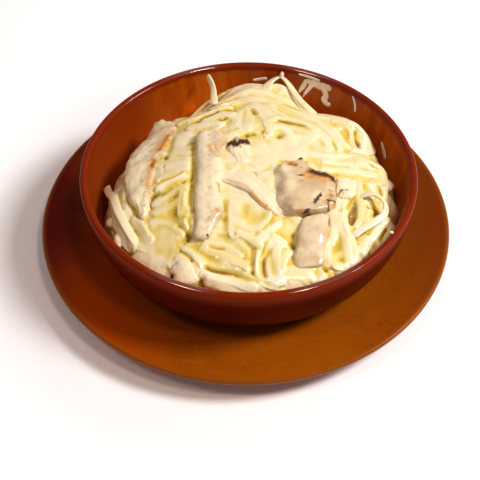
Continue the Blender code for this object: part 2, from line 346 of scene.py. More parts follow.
# ---- bowl ---------------------------------------------------------------------------------------
# A deep stoneware bowl with upright walls, a rounded lip and a turned foot ring that stands on
# the plate's well.  The glaze breaks from dark red on the lip and outside to amber inside.
bowl_low, bowl_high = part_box("bowl")
BOWL_X = (bowl_low.x + bowl_high.x) / 2
BOWL_RADIUS = (bowl_high.x - bowl_low.x) / 2
BOWL_WALL = 0.0049
BOWL_LIP = 0.0020
BASE_RADIUS = 0.0815
BOWL_FOOT_RADIUS = 0.0660
BOWL_FOOT_WIDTH = 0.0050
BOWL_FOOT_HEIGHT = 0.0030
BOWL_FOOT_ROUND = 0.0004

base_under = bowl_low.z + BOWL_FOOT_HEIGHT
bowl_floor = base_under + BOWL_WALL
wall_top = bowl_high.z - BOWL_LIP
inside_base = BASE_RADIUS - BOWL_WALL / 2
inside_reach = BOWL_RADIUS - BOWL_WALL - inside_base
bowl_foot_in = BOWL_FOOT_RADIUS - BOWL_FOOT_WIDTH
bowl_profile = np.vstack([
    [(0.04, bowl_floor)],
    arc((inside_base, wall_top), (inside_reach, wall_top - bowl_floor), -90, 0, 32)[:-1],
    arc((BOWL_RADIUS - BOWL_WALL / 2, wall_top), (BOWL_WALL / 2, BOWL_LIP), 180, 0, 16)[:-1],
    arc((BASE_RADIUS, wall_top), (BOWL_RADIUS - BASE_RADIUS, wall_top - base_under), 0, -90, 32),
    [(BOWL_FOOT_RADIUS + 0.0016, base_under),
     (BOWL_FOOT_RADIUS + FOOT_BEVEL, base_under - 0.0008)],
    foot_tread(BOWL_FOOT_RADIUS, bowl_foot_in, bowl_low.z, BOWL_FOOT_ROUND),
    [(bowl_foot_in - 0.0010, base_under), (0.03, base_under)]])

AMBER_DEEP, AMBER = (0.300, 0.045, 0.0010), (0.500, 0.100, 0.0016)
AMBER_PAINTED_SHADE, LIP_RED = (0.200, 0.0260, 0.0010), (0.180, 0.0160, 0.0014)
WINE_DARK, WINE = (0.050, 0.0018, 0.0005), (0.085, 0.0060, 0.0010)
BOWL_CLAY = (0.40, 0.22, 0.12)

bowl_glaze, place = new_finish("red_amber_glaze", {
    "Specular IOR Level": 0.07, "Roughness": 0.2, "Specular Tint": (1.0, 0.52, 0.34, 1.0),
    "Coat IOR": 2.8, "Coat Roughness": 0.08})
height = place.part(2)
radius = place.off_axis(BOWL_X)
aside = place.part(0)
clouds = place.noise(26.0, detail=4.0)
streaks = place.noise(150.0, detail=3.0, stretch=(1.0, 1.0, 0.16))
grain = place.noise(520.0)
amber = (clouds * 0.6 + streaks * 0.4).between(0.35, 0.66).mixed(AMBER_DEEP, AMBER)
# the inside is painted darker towards its left, as painted shade where the heap shades the wall
amber = (0.03 * clouds - aside).between(0.055, 0.095).mixed(amber, AMBER_PAINTED_SHADE)
up = (height + 0.0035 * clouds - 0.0015 * streaks).between(wall_top - 0.0026, wall_top + 0.0006)
inside = up.mixed(amber, LIP_RED)
dark_red = (clouds * 0.5 + grain * 0.5).between(0.35, 0.65).mixed(WINE_DARK, WINE)
outside = (height + 0.003 * clouds).between(wall_top - 0.009, wall_top + 0.001).mixed(
    dark_red, LIP_RED)
# the radius of the wall's middle at this height parts the inside from the outside
climb = 1.0 - (height - bowl_floor) * (1.0 / (wall_top - bowl_floor))
middle = (1.0 - climb * climb) ** 0.5 * (inside_reach + 0.0005) + (inside_base + BOWL_WALL * 0.45)
outer = (radius - middle).between(-0.0002, 0.0002)
bare = 1.0 - (height + 0.0004 * grain).between(bowl_low.z + 0.0006, bowl_low.z + 0.0014)
# use has dulled the lip but for a stretch on either side of its middle
spread = (aside - 0.004) ** 2.0
kept = spread.between(0.0003, 0.0010) * (1.0 - spread.between(0.0024, 0.0042))
crown = (radius - BOWL_RADIUS).between(-0.0004, -0.0018)
connect(bowl_glaze, "Coat Weight",
        0.9 * kept * crown * height.between(wall_top + 0.0011, wall_top + 0.0017)
        + 0.05 * (1.0 - outer))
connect(bowl_glaze, "Base Color", bare.mixed(outer.mixed(inside, outside), BOWL_CLAY))
connect(bowl_glaze, "Roughness", 0.28 + 0.08 * grain + 0.4 * bare)
emboss(bowl_glaze, grain * 0.25 + clouds, 0.12, 0.0006)

bowl = add_piece("bowl_turned", *closed_skin(turned(bowl_profile, BOWL_X)), bowl_glaze)
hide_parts("bowl")
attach(bowl, "root")


# ---- sauced noodles -----------------------------------------------------------------------------
# Fresh fettuccine, flat egg ribbons about 5 mm wide, tossed in a thick sauce of cream, butter
# and cheese and turned out in a mound.  The ribbons lie over and under each other in slack
# bends; the sauce clings to them, fills the hollows between them and drowns whole stretches.
MM = 0.001                  # lengths of food are given in mm and scaled when a mesh is made
RIBBON_WIDTH = 5.2
RIBBON_THICK = 1.7
SECTION_SIDES = 12
SECTION_POWER = 3.0
TIP_LENGTH = 0.45           # of the width
PATH_STEP = 1.2
CELL = 0.5
GRID_HALF = 112.0

HEAP_TOP = 67.0
SHOULDER_HEIGHT = 50.0
SHOULDER_RADII = (92.0, 86.0, 94.0, 80.0, 82.0, 97.0, 99.0, 100.0)
SIDE_SLOPE = 2.0
MOUND_POWER = 2.2
SHOULDER_ROUNDING = 1.5

rng = np.random.default_rng(20)


def mound(x, y):
    """Height in mm of the heap's general form: a dome inside the shoulder and a steep fall
    outside it, whichever is lower; the shoulder's radius runs smoothly round by Fourier terms."""
    across = x - BOWL_X / MM
    r, angle = np.hypot(across, y), np.arctan2(y, across)
    terms = np.fft.rfft(SHOULDER_RADII) / len(SHOULDER_RADII)
    shoulder = terms[0].real + sum(
        (1.0 if 2 * k == len(SHOULDER_RADII) else 2.0)
        * (terms[k].real * np.cos(k * angle) - terms[k].imag * np.sin(k * angle))
        for k in range(1, len(terms)))
    dome = (HEAP_TOP - SHOULDER_HEIGHT) * (1.0 - (r / shoulder) ** MOUND_POWER)
    fall = SIDE_SLOPE * (shoulder - r)
    soft = np.exp(-dome / SHOULDER_ROUNDING) + np.exp(-fall / SHOULDER_ROUNDING)
    return SHOULDER_HEIGHT - SHOULDER_ROUNDING * np.log(soft)


def wall_radius(z):
    """Radius in mm of the bowl's inside at a height in mm."""
    climb = np.clip((z * MM - bowl_floor) / (wall_top - bowl_floor), 0.0, 1.0)
    return (inside_base + inside_reach * np.sqrt(1.0 - (1.0 - climb) ** 2)) / MM


def wall_height(r):
    """Height in mm at which the bowl's inside has a radius in mm."""
    climb = 1.0 - np.sqrt(1.0 - np.clip((r * MM - inside_base) / inside_reach, 0.0, 1.0) ** 2)
    return (bowl_floor + (wall_top - bowl_floor) * climb) / MM


def blurred(field, sigma):
    """A Gaussian blur with sigma in mm, done along one axis and then the other."""
    steps = np.arange(-int(3 * sigma / CELL), int(3 * sigma / CELL) + 1)
    kernel = np.exp(-0.5 * (steps * CELL / sigma) ** 2)
    kernel /= kernel.sum()
    pad = len(steps) // 2
    for _ in range(2):
        wide = np.pad(field, ((pad, pad), (0, 0)), mode="edge")
        field = sum(k * wide[i:i + field.shape[0]] for i, k in enumerate(kernel)).T
    return field


ticks = np.arange(-GRID_HALF, GRID_HALF + CELL / 2, CELL)
grid_x, grid_y = np.meshgrid(ticks, ticks, indexing="ij")


def cell_of(x, y):
    """Row and column of the grid cell that holds a place in mm."""
    row = np.clip(np.rint((x + GRID_HALF) / CELL).astype(int), 0, len(ticks) - 1)
    return row, np.clip(np.rint((y + GRID_HALF) / CELL).astype(int), 0, len(ticks) - 1)


def level_at(field, x, y):
    """A field's value at places in mm, read between the four cells round each of them."""
    i, j = (np.clip((place + GRID_HALF) / CELL, 0, len(ticks) - 1.001) for place in (x, y))
    row, column = i.astype(int), j.astype(int)
    s, t = i - row, j - column
    return ((field[row, column] * (1 - s) + field[row + 1, column] * s) * (1 - t)
            + (field[row, column + 1] * (1 - s) + field[row + 1, column + 1] * s) * t)


def hump(x, y, radius):
    """1 at a place, falling off round it as exp(-(distance / radius)^2), over the grid."""
    return np.exp(-((grid_x - x) ** 2 + (grid_y - y) ** 2) / radius ** 2)


def spots_field(spots):
    """0 to 1 over the grid: how far the soft round spots (x, y, radius, strength) reach."""
    return 1.0 - np.prod([1.0 - much * hump(x, y, radius) for x, y, radius, much in spots], axis=0)


# where the heap swells out over its general form: x, y, radius and height in mm
SWELLINGS = [(27, 89, 10, 8.0), (4, 85, 13, 5.5), (82, 47, 12, 11.0), (66, 53, 9, 3.0),
             (-38, 73, 12, -16.0), (-22, 81, 8, -6.0), (48, 72, 12, -10.0), (92, 20, 10, -7.0),
             (98, -4, 9, -9.0), (96, -26, 9, -11.0), (-86, -3, 6, -6.0)]
form = mound(grid_x, grid_y) + sum(
    rise * hump(x, y, radius) for x, y, radius, rise in SWELLINGS)

# where the sauce lies smooth over everything: x, y, radius in mm, and how much it hides
cover = spots_field([(30, 12, 15, 1.0), (14, 4, 14, 0.9), (-53, -64, 12, 1.0), (-43, 26, 11, 0.9),
                     (-2, -26, 14, 0.7), (3, -42, 12, 0.8), (10, 74, 20, 0.45), (60, 6, 14, 0.5),
                     (-47, -8, 15, 0.75), (50, 36, 17, 0.5), (-48, -42, 10, 0.45),
                     (-2, -46, 13, 0.42), (-2, 44, 12, 0.40), (-12, -84, 14, 0.34),
                     (60, -60, 13, 0.34), (30, 42, 10, 0.32)])
drowned = np.clip(1.5 * cover - 0.2, 0.0, 1.0)
# where it has run off and the ribbons stand free
dry = spots_field([(62, -50, 20, 1.0), (78, -44, 16, 1.0), (-46, -24, 16, 0.3), (-72, -28, 16, 0.9),
                   (-16, -82, 18, 0.6), (12, -76, 14, 0.7), (-28, 50, 14, 0.8), (76, 34, 14, 0.4),
                   (30, 34, 14, 0.3)])


def lengths_along(path):
    """How far along a path each of its points lies."""
    return np.concatenate([[0.0], np.cumsum(np.linalg.norm(np.diff(path, axis=0), axis=1))])


def read_at(places, known, rows):
    """Rows of numbers, given at known places, read between them at other places."""
    return np.stack([np.interp(places, known, column) for column in rows.T], axis=-1)


def curve(points, step=PATH_STEP):
    """A Catmull-Rom curve through the points, cut into equal steps."""
    points = np.asarray(points, float)
    ends = np.vstack([2 * points[0] - points[1], points, 2 * points[-1] - points[-2]])
    t = np.linspace(0.0, 1.0, 16, endpoint=False)[None, :, None]
    a, b, c, d = (ends[i:len(ends) - 3 + i, None] for i in range(4))
    fine = 0.5 * (2 * b + (c - a) * t + (2 * a - 5 * b + 4 * c - d) * t ** 2
                  + (3 * b - a - 3 * c + d) * t ** 3)
    fine = np.vstack([fine.reshape(-1, points.shape[1]), points[-1]])
    along = lengths_along(fine)
    places = np.linspace(0.0, along[-1], max(int(along[-1] / step), 4) + 1)
    return read_at(places, along, fine)


def wander(count, step, amount):
    """Slow random drift along a path of count points a step apart, three long waves summed."""
    s = np.linspace(0.0, 1.0, count) * (count * step)
    return amount * sum(rng.normal() / (k + 1) * np.sin(s / (26.0 / (k + 1)) + rng.uniform(0, 6.3))
                        for k in range(3))


def smoothed(values, sigma):
    """A Gaussian blur of values along a path, sigma in path steps."""
    steps = np.arange(-int(3 * sigma), int(3 * sigma) + 1)
    kernel = np.exp(-0.5 * (steps / sigma) ** 2)
    wide = np.pad(values, len(steps) // 2, mode="edge")
    return np.convolve(wide, kernel / kernel.sum(), mode="valid")


def headings(path):
    """Unit vectors along a path."""
    forward = np.gradient(path, axis=0)
    return forward / np.linalg.norm(forward, axis=1)[:, None]


def superellipse(angles, power):
    """(cos, sin) pairs drawn out to a superellipse |c|^power + |s|^power = 1."""
    c, s = np.cos(angles), np.sin(angles)
    return np.sign(c) * np.abs(c) ** (2 / power), np.sign(s) * np.abs(s) ** (2 / power)


def round_tip(inward):
    """How wide a round tip stands at a share of the way in from its end: a quarter of a circle,
    cut off a little before it comes to a point."""
    return np.sqrt(np.maximum(1.0 - (1.0 - np.minimum(inward, 1.0)) ** 2, 0.02))


def swept(path, roll, width, thick):
    """Rings of a ribbon carried along a path.

    The section is a superellipse across the path, width by thick, turned by roll about it; the
    two ends are drawn in to a round tip over about half a width.
    """
    width = np.broadcast_to(width, len(path))[:, None, None]
    forward = headings(path)
    side = np.cross(forward, (0.0, 0.0, 1.0))
    side /= np.linalg.norm(side, axis=1)[:, None]
    up = np.cross(side, forward)
    turn = np.asarray(roll)[:, None]
    side, up = side * np.cos(turn) + up * np.sin(turn), up * np.cos(turn) - side * np.sin(turn)
    flat, tall = superellipse(-all_round(SECTION_SIDES), SECTION_POWER)
    along = lengths_along(path)
    tip = round_tip(np.minimum(along, along[-1] - along) / (TIP_LENGTH * width.mean()))
    tip = tip[:, None, None]
    return path[:, None] + tip * 0.5 * (width * flat[None, :, None] * side[:, None]
                                        + thick * tall[None, :, None] * up[:, None])


top = form - 4.0            # the height reached so far, cell by cell
tone = np.zeros_like(top)   # each ribbon's own shade
seam = np.zeros_like(top)   # 0 along a ribbon's middle, 1 along its two edges
laid_points, laid_faces = [], []
DROWNED_DEPTH = 2.4         # how far a ribbon sinks where the sauce covers everything
ROLL_WANDER = 0.22


def gather(rings):
    """Adds one closed skin to the mesh that noodles and sauce are fused from."""
    points, faces = closed_skin(rings)
    before = sum(map(len, laid_points))
    laid_points.append(points)
    laid_faces.extend([tuple(i + before for i in face) for face in faces])


def lay_ribbon(flat_path, lift, width=RIBBON_WIDTH, thick=RIBBON_THICK):
    """Lays one ribbon on what already lies in the bowl.

    It rests on the highest part of the heap under its width, evened out along its length as a
    ribbon is stiff, and is drawn towards the mound's general height plus lift.  It leans with
    the heap across its width, rolls slowly, and sinks where the sauce covers everything.
    """
    count = len(flat_path)
    forward = headings(flat_path)
    side = np.stack([forward[:, 1], -forward[:, 0]], axis=-1)
    across = np.linspace(-0.5, 0.5, 5) * width
    probes = flat_path[:, None] + across[None, :, None] * side[:, None]
    under = top[cell_of(probes[..., 0], probes[..., 1])]
    rest = smoothed(0.6 * under.max(axis=1) + 0.4 * under.mean(axis=1), 3.0) + 0.34 * thick
    where = cell_of(flat_path[:, 0], flat_path[:, 1])
    wanted = form[where] + lift - DROWNED_DEPTH * cover[where]
    z = smoothed(0.55 * rest + 0.45 * wanted, 2.0)
    z = np.maximum(z, wall_height(np.hypot(flat_path[:, 0] - BOWL_X / MM, flat_path[:, 1]) + 1.5))
    lean = smoothed(np.clip((under[:, -1] - under[:, 0]) / width, -0.7, 0.7), 3.0)
    roll = np.arctan(lean) + wander(count, PATH_STEP, ROLL_WANDER)
    gather(swept(np.column_stack([flat_path, z]), roll, width, thick))
    # the ribbon's upper face becomes part of the heap that the next ribbon rests on
    fine = np.linspace(0, count - 1, 3 * count)
    middle, sideways = (read_at(fine, np.arange(count), way) for way in (flat_path, side))
    middle_z, tilt = (np.interp(fine, np.arange(count), c)[:, None] for c in (z, roll))
    across = np.linspace(-0.5, 0.5, 13)
    spots = middle[:, None] + (across * width)[None, :, None] * sideways[:, None]
    crown = (middle_z + across * width * np.sin(tilt)
             + 0.5 * thick * (1.0 - np.abs(2 * across) ** 4))
    where = cell_of(spots[..., 0], spots[..., 1])
    tone[where] = np.where(crown > top[where], rng.normal(), tone[where])
    seam[where] = np.where(crown > top[where], np.abs(2 * across) ** 3, seam[where])
    np.maximum.at(top, where, crown)


# the tangle underneath: ribbons that wander about the heap in loose random bends
TANGLE_COUNT = 120
TANGLE_REACH = 89.0
TANGLE_STEPS = (40, 90)
TANGLE_BEND = 0.32
TANGLE_LIFT = -1.8
for _ in range(TANGLE_COUNT):
    reach, around = TANGLE_REACH * math.sqrt(rng.uniform(0, 1)), rng.uniform(0, 2 * math.pi)
    steps = int(rng.uniform(*TANGLE_STEPS))
    heading = rng.uniform(0, 2 * math.pi) + np.cumsum(
        smoothed(rng.normal(0, 1, steps), 6.0)) * TANGLE_BEND
    path = np.column_stack([reach * math.cos(around) + BOWL_X / MM
                            + np.cumsum(np.cos(heading)) * PATH_STEP,
                            reach * math.sin(around) + np.cumsum(np.sin(heading)) * PATH_STEP])
    far = np.hypot(path[:, 0] - BOWL_X / MM, path[:, 1])
    path *= np.minimum(1.0, TANGLE_REACH / np.maximum(far, 1e-6))[:, None]
    lay_ribbon(path, TANGLE_LIFT)

# the ribbons that show, from the lowest up in each part of the heap: lift and route in mm
STRANDS = [
    # the crest at the back
    (0.2, [(-18, 74), (-12, 81), (-5, 88), (3, 92), (12, 90), (19, 85)]),
    (0.2, [(-22, 65), (-15, 70), (-7, 75), (3, 78), (13, 77), (23, 73), (32, 68), (40, 60)]),
    (0.0, [(-15, 58), (-7, 64), (3, 67), (13, 66), (22, 61), (32, 56), (41, 51), (50, 47)]),
    (0.4, [(15, 82), (22, 85), (29, 80), (35, 70), (42, 60), (48, 54), (56, 53), (65, 50)]),
    (0.3, [(-32, 57), (-31, 66), (-27, 72), (-22, 73)]),
    (0.4, [(-26, 60), (-20, 59), (-15, 62), (-11, 62)]),
    # the shoulder at the back right, with a loop of one ribbon
    (0.0, [(35, 33), (40, 29), (45, 21), (48, 12)]),
    (0.2, [(42, 40), (47, 34), (52, 28), (55, 19), (55, 11)]),
    (0.4, [(50, 44), (56, 37), (60, 29), (62, 20), (60, 12)]),
    (0.3, [(58, 42), (62, 34), (65, 26), (70, 20)]),
    (0.6, [(57, 49), (66, 46), (70, 39), (70, 29), (72, 20), (76, 16)]),
    (1.4, [(46, 57), (54, 57), (60, 55), (67, 52), (75, 49), (83, 44), (87, 35), (83, 25),
           (76, 18)]),
    (1.4, [(68, 48), (75, 45), (81, 38), (80, 28), (75, 20), (69, 17)]),
    # round the hollows behind the middle
    (0.0, [(-15, 49), (-10, 45), (-6, 39), (-2, 31), (4, 29)]),
    (0.3, [(-9, 30), (-6, 42), (-3, 52), (2, 57), (7, 59), (13, 53), (16, 46), (19, 38)]),
    (0.4, [(0, 28), (1, 38), (2, 48), (4, 56)]),
    (0.6, [(4, 58), (10, 49), (14, 39), (15, 30)]),
    (0.3, [(16, 30), (22, 35), (29, 34), (35, 32), (42, 28), (47, 24)]),
    (1.2, [(14, 34), (18, 40), (22, 43), (29, 43), (36, 40), (43, 36), (50, 33)]),
    (0.6, [(14, 21), (16, 28), (20, 32), (25, 31), (29, 26), (29, 19)]),
    (0.1, [(25, 18), (32, 23), (38, 23), (44, 19)]),
    (0.3, [(-31, 44), (-24, 45), (-17, 48), (-11, 48), (-6, 48)]),
    (1.4, [(-48, 47), (-42, 49), (-34, 50), (-27, 52), (-21, 54), (-15, 56), (-8, 56)]),
    (0.8, [(-41, 39), (-33, 38), (-26, 38), (-20, 38), (-14, 35)]),
    # out to the loop at the right, and down to the lower right in slack hanging bends
    (0.2, [(35, 8), (44, 7), (54, 7), (64, 10), (73, 12), (82, 14)]),
    (0.2, [(47, 1), (58, 1), (67, 3), (75, 5), (82, 4)]),
    (0.2, [(46, -5), (53, -5), (63, -4), (72, -3), (80, -2), (86, -1)]),
    (1.2, [(69, 8), (77, 11), (84, 11), (89, 8), (90, 2), (88, -5), (83, -9), (78, -9)]),
    (0.2, [(79, -9), (80, -15), (82, -22)]),
    (0.2, [(59, -27), (58, -36), (56, -43), (57, -50)]),
    (0.4, [(53, -38), (53, -45), (53, -53), (51, -60), (48, -67), (47, -73), (48, -79)]),
    (0.6, [(58, -40), (58, -51), (59, -58), (60, -65), (61, -72), (57, -78), (51, -80)]),
    (1.0, [(70, -12), (67, -22), (64, -29), (61, -37), (60, -44), (61, -52), (64, -58), (66, -64),
           (66, -71), (61, -76)]),
    (0.8, [(72, -9), (72, -18), (71, -27), (71, -35), (70, -43), (66, -51)]),
    (0.0, [(91, -37), (88, -46), (84, -52), (80, -59)]),
    (0.3, [(89, -34), (86, -40), (82, -46), (78, -52), (74, -58), (72, -64)]),
    (0.0, [(71, -53), (72, -58), (71, -64), (68, -69)]),
    (0.2, [(74, -33), (77, -36), (75, -43), (72, -49)]),
    # under the slice at the front right
    (0.0, [(23, -92), (31, -91), (40, -88), (48, -83)]),
    (0.2, [(20, -88), (27, -86), (32, -86), (36, -89)]),
    (0.6, [(21, -84), (27, -82), (33, -82), (38, -84), (39, -89)]),
    (0.4, [(43, -80), (44, -84), (48, -86)]),
    (0.5, [(50, -76), (54, -78), (58, -76)]),
    # the swirl in front of the middle
    (0.1, [(-8, -33), (-9, -41), (-9, -49), (-9, -57), (-7, -63)]),
    (0.2, [(-6, -45), (-4, -51), (0, -54), (7, -54), (11, -49), (13, -43), (10, -38)]),
    (0.0, [(-4, -62), (0, -70), (1, -77), (1, -83), (3, -89), (8, -93), (15, -94)]),
    (0.5, [(13, -60), (9, -66), (7, -72), (6, -79), (6, -85), (8, -89), (13, -92), (19, -92)]),
    (0.4, [(26, -70), (22, -75), (20, -81), (21, -85)]),
    (0.8, [(19, -59), (15, -65), (13, -71), (13, -78), (13, -83), (14, -88), (18, -91), (23, -89)]),
    (0.8, [(24, -62), (19, -67), (17, -73), (17, -79), (17, -84), (20, -87)]),
    (0.6, [(21, -50), (17, -54), (12, -58), (8, -63), (5, -66)]),
    (0.8, [(-7, -57), (-3, -59), (2, -63), (6, -67), (10, -68)]),
    # the long ribbons at the front left
    (0.0, [(-26, -63), (-20, -65), (-13, -67), (-7, -71), (-2, -75)]),
    (0.2, [(-42, -70), (-37, -74), (-33, -78), (-31, -83), (-29, -89)]),
    (0.3, [(-25, -88), (-19, -90), (-12, -93), (-4, -95), (4, -95)]),
    (0.3, [(-29, -72), (-24, -76), (-18, -79), (-10, -81), (-4, -83), (1, -87), (6, -91)]),
    (0.4, [(-29, -67), (-23, -71), (-15, -74), (-8, -77), (-2, -79), (3, -83)]),
    (0.8, [(-28, -83), (-21, -86), (-14, -88), (-7, -90), (0, -93), (7, -94)]),
    (0.6, [(-39, -66), (-34, -70), (-31, -73), (-27, -77), (-25, -81)]),
    # between the two long slices of chicken, and down the left flank
    (0.2, [(-53, -1), (-47, 0), (-41, -1), (-35, -3)]),
    (0.2, [(-58, -14), (-53, -10), (-47, -8), (-41, -6), (-35, -6)]),
    (0.0, [(-39, -22), (-39, -31), (-40, -39), (-40, -46)]),
    (0.2, [(-59, -39), (-53, -37), (-47, -35), (-41, -33), (-36, -32)]),
    (0.6, [(-56, -24), (-51, -20), (-46, -18), (-41, -15), (-36, -12)]),
    (0.9, [(-59, -33), (-54, -31), (-49, -28), (-44, -24), (-41, -18)]),
    (0.2, [(-36, -20), (-36, -32), (-36, -39), (-35, -46), (-34, -53), (-35, -57)]),
    (0.6, [(-39, -47), (-39, -52), (-36, -56)]),
    (0.3, [(-60, -47), (-54, -46), (-47, -47), (-42, -52), (-37, -59)]),
    (-2.4, [(-83, -6), (-81, -18), (-77, -30), (-72, -39), (-67, -48)]),
    (-2.4, [(-79, -12), (-77, -21), (-74, -30), (-69, -37), (-65, -45)]),
    (0.2, [(-70, -39), (-65, -47), (-61, -54), (-56, -60)]),
    (0.6, [(-75, -42), (-71, -50), (-68, -57), (-66, -63)]),
    (0.2, [(-84, -34), (-80, -44), (-76, -54), (-70, -62)]),
]
STRAND_DRIFT = 0.5
WIDTH_SPREAD = 0.6
THICK_SPREAD = 0.25
for lift, route in STRANDS:
    path = curve(route)
    side = headings(path)[:, ::-1] * (1.0, -1.0)
    path = path + wander(len(path), PATH_STEP, STRAND_DRIFT)[:, None] * side
    lay_ribbon(path, lift, RIBBON_WIDTH + WIDTH_SPREAD * rng.normal(),
               RIBBON_THICK + THICK_SPREAD * rng.normal())

# the gaps and pits between them: route in mm, half width, depth, and how golden they are painted,
# which is partly painted shade
CREVICES = [
    ([(-37, 44), (-34, 44), (-31, 45), (-29, 48), (-24, 50), (-20, 52)], 1.6, 3.0, 1.0),
    ([(-20, 52), (-13, 54), (-10, 54)], 1.2, 1.0, 0.5),
    ([(-16, 42), (-14, 43)], 1.5, 2.5, 1.0),
    ([(4, 52), (6, 48)], 2.0, 3.0, 0.9),
    ([(22, 41), (28, 40), (34, 39), (39, 37)], 1.2, 2.5, 0.9),
    ([(30, 33), (34, 32), (38, 30)], 1.0, 1.2, 0.6),
    ([(22, 24)], 2.6, 3.0, 0.9),
    ([(11, 27), (13, 26)], 1.6, 1.8, 0.7),
    ([(1, 24), (5, 25)], 1.6, 1.0, 0.7),
    ([(57, 23), (59, 16)], 0.9, 1.5, 0.7),
    ([(73, 39), (73, 33), (74, 28), (75, 24)], 1.6, 2.5, 0.85),
    ([(81, 8), (84, 7), (87, 7)], 1.0, 1.5, 0.8),
    ([(85, -9), (86, -16), (89, -19)], 1.4, 2.0, 0.8),
    ([(66, -26), (64, -31), (62, -36)], 1.5, 3.5, 1.0),
    ([(68, -27), (67, -34), (65, -41), (64, -47)], 2.6, 1.5, 0.55),
    ([(80, -31), (83, -32), (80, -35), (78, -38)], 1.8, 4.0, 1.0),
    ([(76, -32)], 1.2, 2.0, 1.0),
    ([(77, -39), (72, -44)], 0.7, 1.2, 0.8),
    ([(63, -53), (66, -56), (67, -62)], 0.8, 1.5, 0.8),
    ([(73, -62), (74, -65)], 1.0, 2.0, 0.9),
    ([(68, -68), (68, -70)], 1.0, 2.0, 0.9),
    ([(52, -64)], 3.2, 1.5, 0.5),
    ([(56, -72)], 3.0, 1.5, 0.7),
    ([(46, -75), (46, -79)], 2.4, 2.0, 0.7),
    ([(41, -81), (41, -85)], 2.4, 1.5, 0.6),
    ([(71, -55)], 2.0, 1.0, 0.4),
    ([(13, -71), (11, -75), (10, -79), (10, -83), (11, -87)], 1.4, 1.8, 0.65),
    ([(3, -70), (3, -76), (3, -82), (4, -86), (7, -90), (11, -92)], 1.6, 1.6, 0.65),
    ([(-4, -63), (0, -66), (3, -69), (7, -70)], 1.2, 1.5, 0.55),
    ([(-22, -68), (-18, -69), (-14, -69)], 1.3, 1.6, 0.7),
    ([(-25, -80), (-20, -82), (-14, -83), (-8, -84), (-4, -86), (1, -89), (6, -90)], 1.5, 1.8, 0.7),
    ([(-26, -87), (-26, -91)], 1.8, 3.0, 1.0),
    ([(-21, -92)], 1.8, 2.0, 0.8),
    ([(-39, -69), (-36, -71), (-33, -74), (-32, -76)], 1.1, 1.8, 0.8),
    ([(-1, -40), (-1, -46)], 3.5, 1.2, 0.5),
    ([(5, -46)], 6.0, 0.8, 0.35),
    ([(-13, -34), (-13, -45), (-13, -56)], 1.8, 1.0, 0.45),
    ([(-59, -27), (-57, -25), (-55, -24)], 1.6, 3.5, 1.0),
    ([(-44, -21), (-41, -19), (-38, -17)], 0.9, 1.6, 0.85),
    ([(-54, -13), (-49, -13), (-45, -12), (-41, -9)], 1.2, 1.5, 0.6),
    ([(-48, -33), (-44, -31)], 1.2, 1.0, 0.5),
    ([(-33, -6), (-33, -13), (-34, -21), (-35, -28), (-35, -36)], 1.8, 2.5, 0.85),
    ([(-37, -42)], 2.2, 1.5, 0.7),
    ([(-38, -25)], 2.0, 1.5, 0.7),
    ([(-41, -52), (-37, -55), (-34, -59)], 1.5, 2.0, 0.8),
    ([(-75, -19), (-72, -27), (-69, -34), (-66, -40)], 1.6, 2.5, 0.8),
    ([(-82, -10), (-80, -21), (-78, -30)], 1.8, 3.0, 0.95),
    ([(-83, -33), (-80, -41)], 3.0, 2.5, 0.95),
    ([(-74, -54), (-72, -59), (-70, -63)], 1.3, 2.5, 0.95),
    ([(10, -56), (13, -51)], 1.5, 1.0, 0.45),
    ([(28, -57), (27, -62), (28, -66)], 2.0, 1.5, 0.7),
    ([(86, -45), (84, -49), (82, -54)], 1.8, 2.5, 0.95),
    ([(20, -4), (23, -1)], 1.5, 1.0, 0.5),
    ([(-34, 20), (-34, 5), (-33.5, -12), (-34.5, -30), (-34, -46), (-34.5, -62)], 1.3, 1.2, 0.7),
    ([(-49, 30), (-50, 18), (-52, 8)], 1.8, 1.5, 0.6),
    # wider stretches painted golden: partly the ribbons' own yellow where the sauce has soaked in,
    # partly painted shade
    ([(-46, -18), (-42, -34), (-39, -48)], 9.0, 0.2, 0.42),
    ([(-52, -44), (-46, -50)], 6.0, 0.2, 0.30),
    ([(-22, 51), (-10, 56)], 5.0, 0.2, 0.30),
    ([(30, 38), (40, 35)], 5.0, 0.2, 0.28),
    ([(12, -46), (15, -50)], 5.0, 0.3, 0.36),
    ([(4, -74), (14, -82)], 7.0, 0.2, 0.28),
    ([(54, -64), (60, -74)], 7.0, 0.2, 0.34),
    ([(72, -46), (76, -54)], 7.0, 0.2, 0.30),
    ([(-20, -74), (-34, -66)], 6.0, 0.2, 0.28),
    ([(-52, -58), (-47, -66)], 9.0, 0.1, 0.26),
    ([(48, -8), (60, -9)], 5.0, 0.2, 0.30),
]


def gap_from(route, x, y):
    """Distance in mm from places to a route of straight runs."""
    nodes = np.asarray(route, float)
    if len(nodes) == 1:
        nodes = np.vstack([nodes, nodes + 0.01])
    gap = np.inf
    for a, b in zip(nodes, nodes[1:]):
        run = b - a
        t = np.clip(((x - a[0]) * run[0] + (y - a[1]) * run[1]) / (run @ run), 0.0, 1.0)
        gap = np.minimum(gap, np.hypot(x - a[0] - t * run[0], y - a[1] - t * run[1]))
    return gap


FILLED_IN = 0.4             # the share of a gap's depth that the sauce takes up
carved, golden = np.zeros_like(form), np.zeros_like(form)
for route, reach, depth, gold in CREVICES:
    fall = np.exp(-(gap_from(route, grid_x, grid_y) / reach) ** 2)
    carved = np.maximum(carved, (1.0 - FILLED_IN) * depth * fall)
    golden = np.maximum(golden, gold * fall)

# the sauce between and over the ribbons, a solid body down to the bowl's floor
SAUCE_RINGS = 150
SAUCE_TURNS = 420
WALL_LAP = 0.8              # how far noodles and sauce reach into the bowl's wall, unseen
FLOOR_LAP = 0.3             # and into its floor
LOWEST_SAUCE = 0.45         # how far it lies under the evened-out ribbons
POOL_LIFT = 0.4             # how far it stands over them where it drowns them
RIPPLE_HEIGHT = 0.35

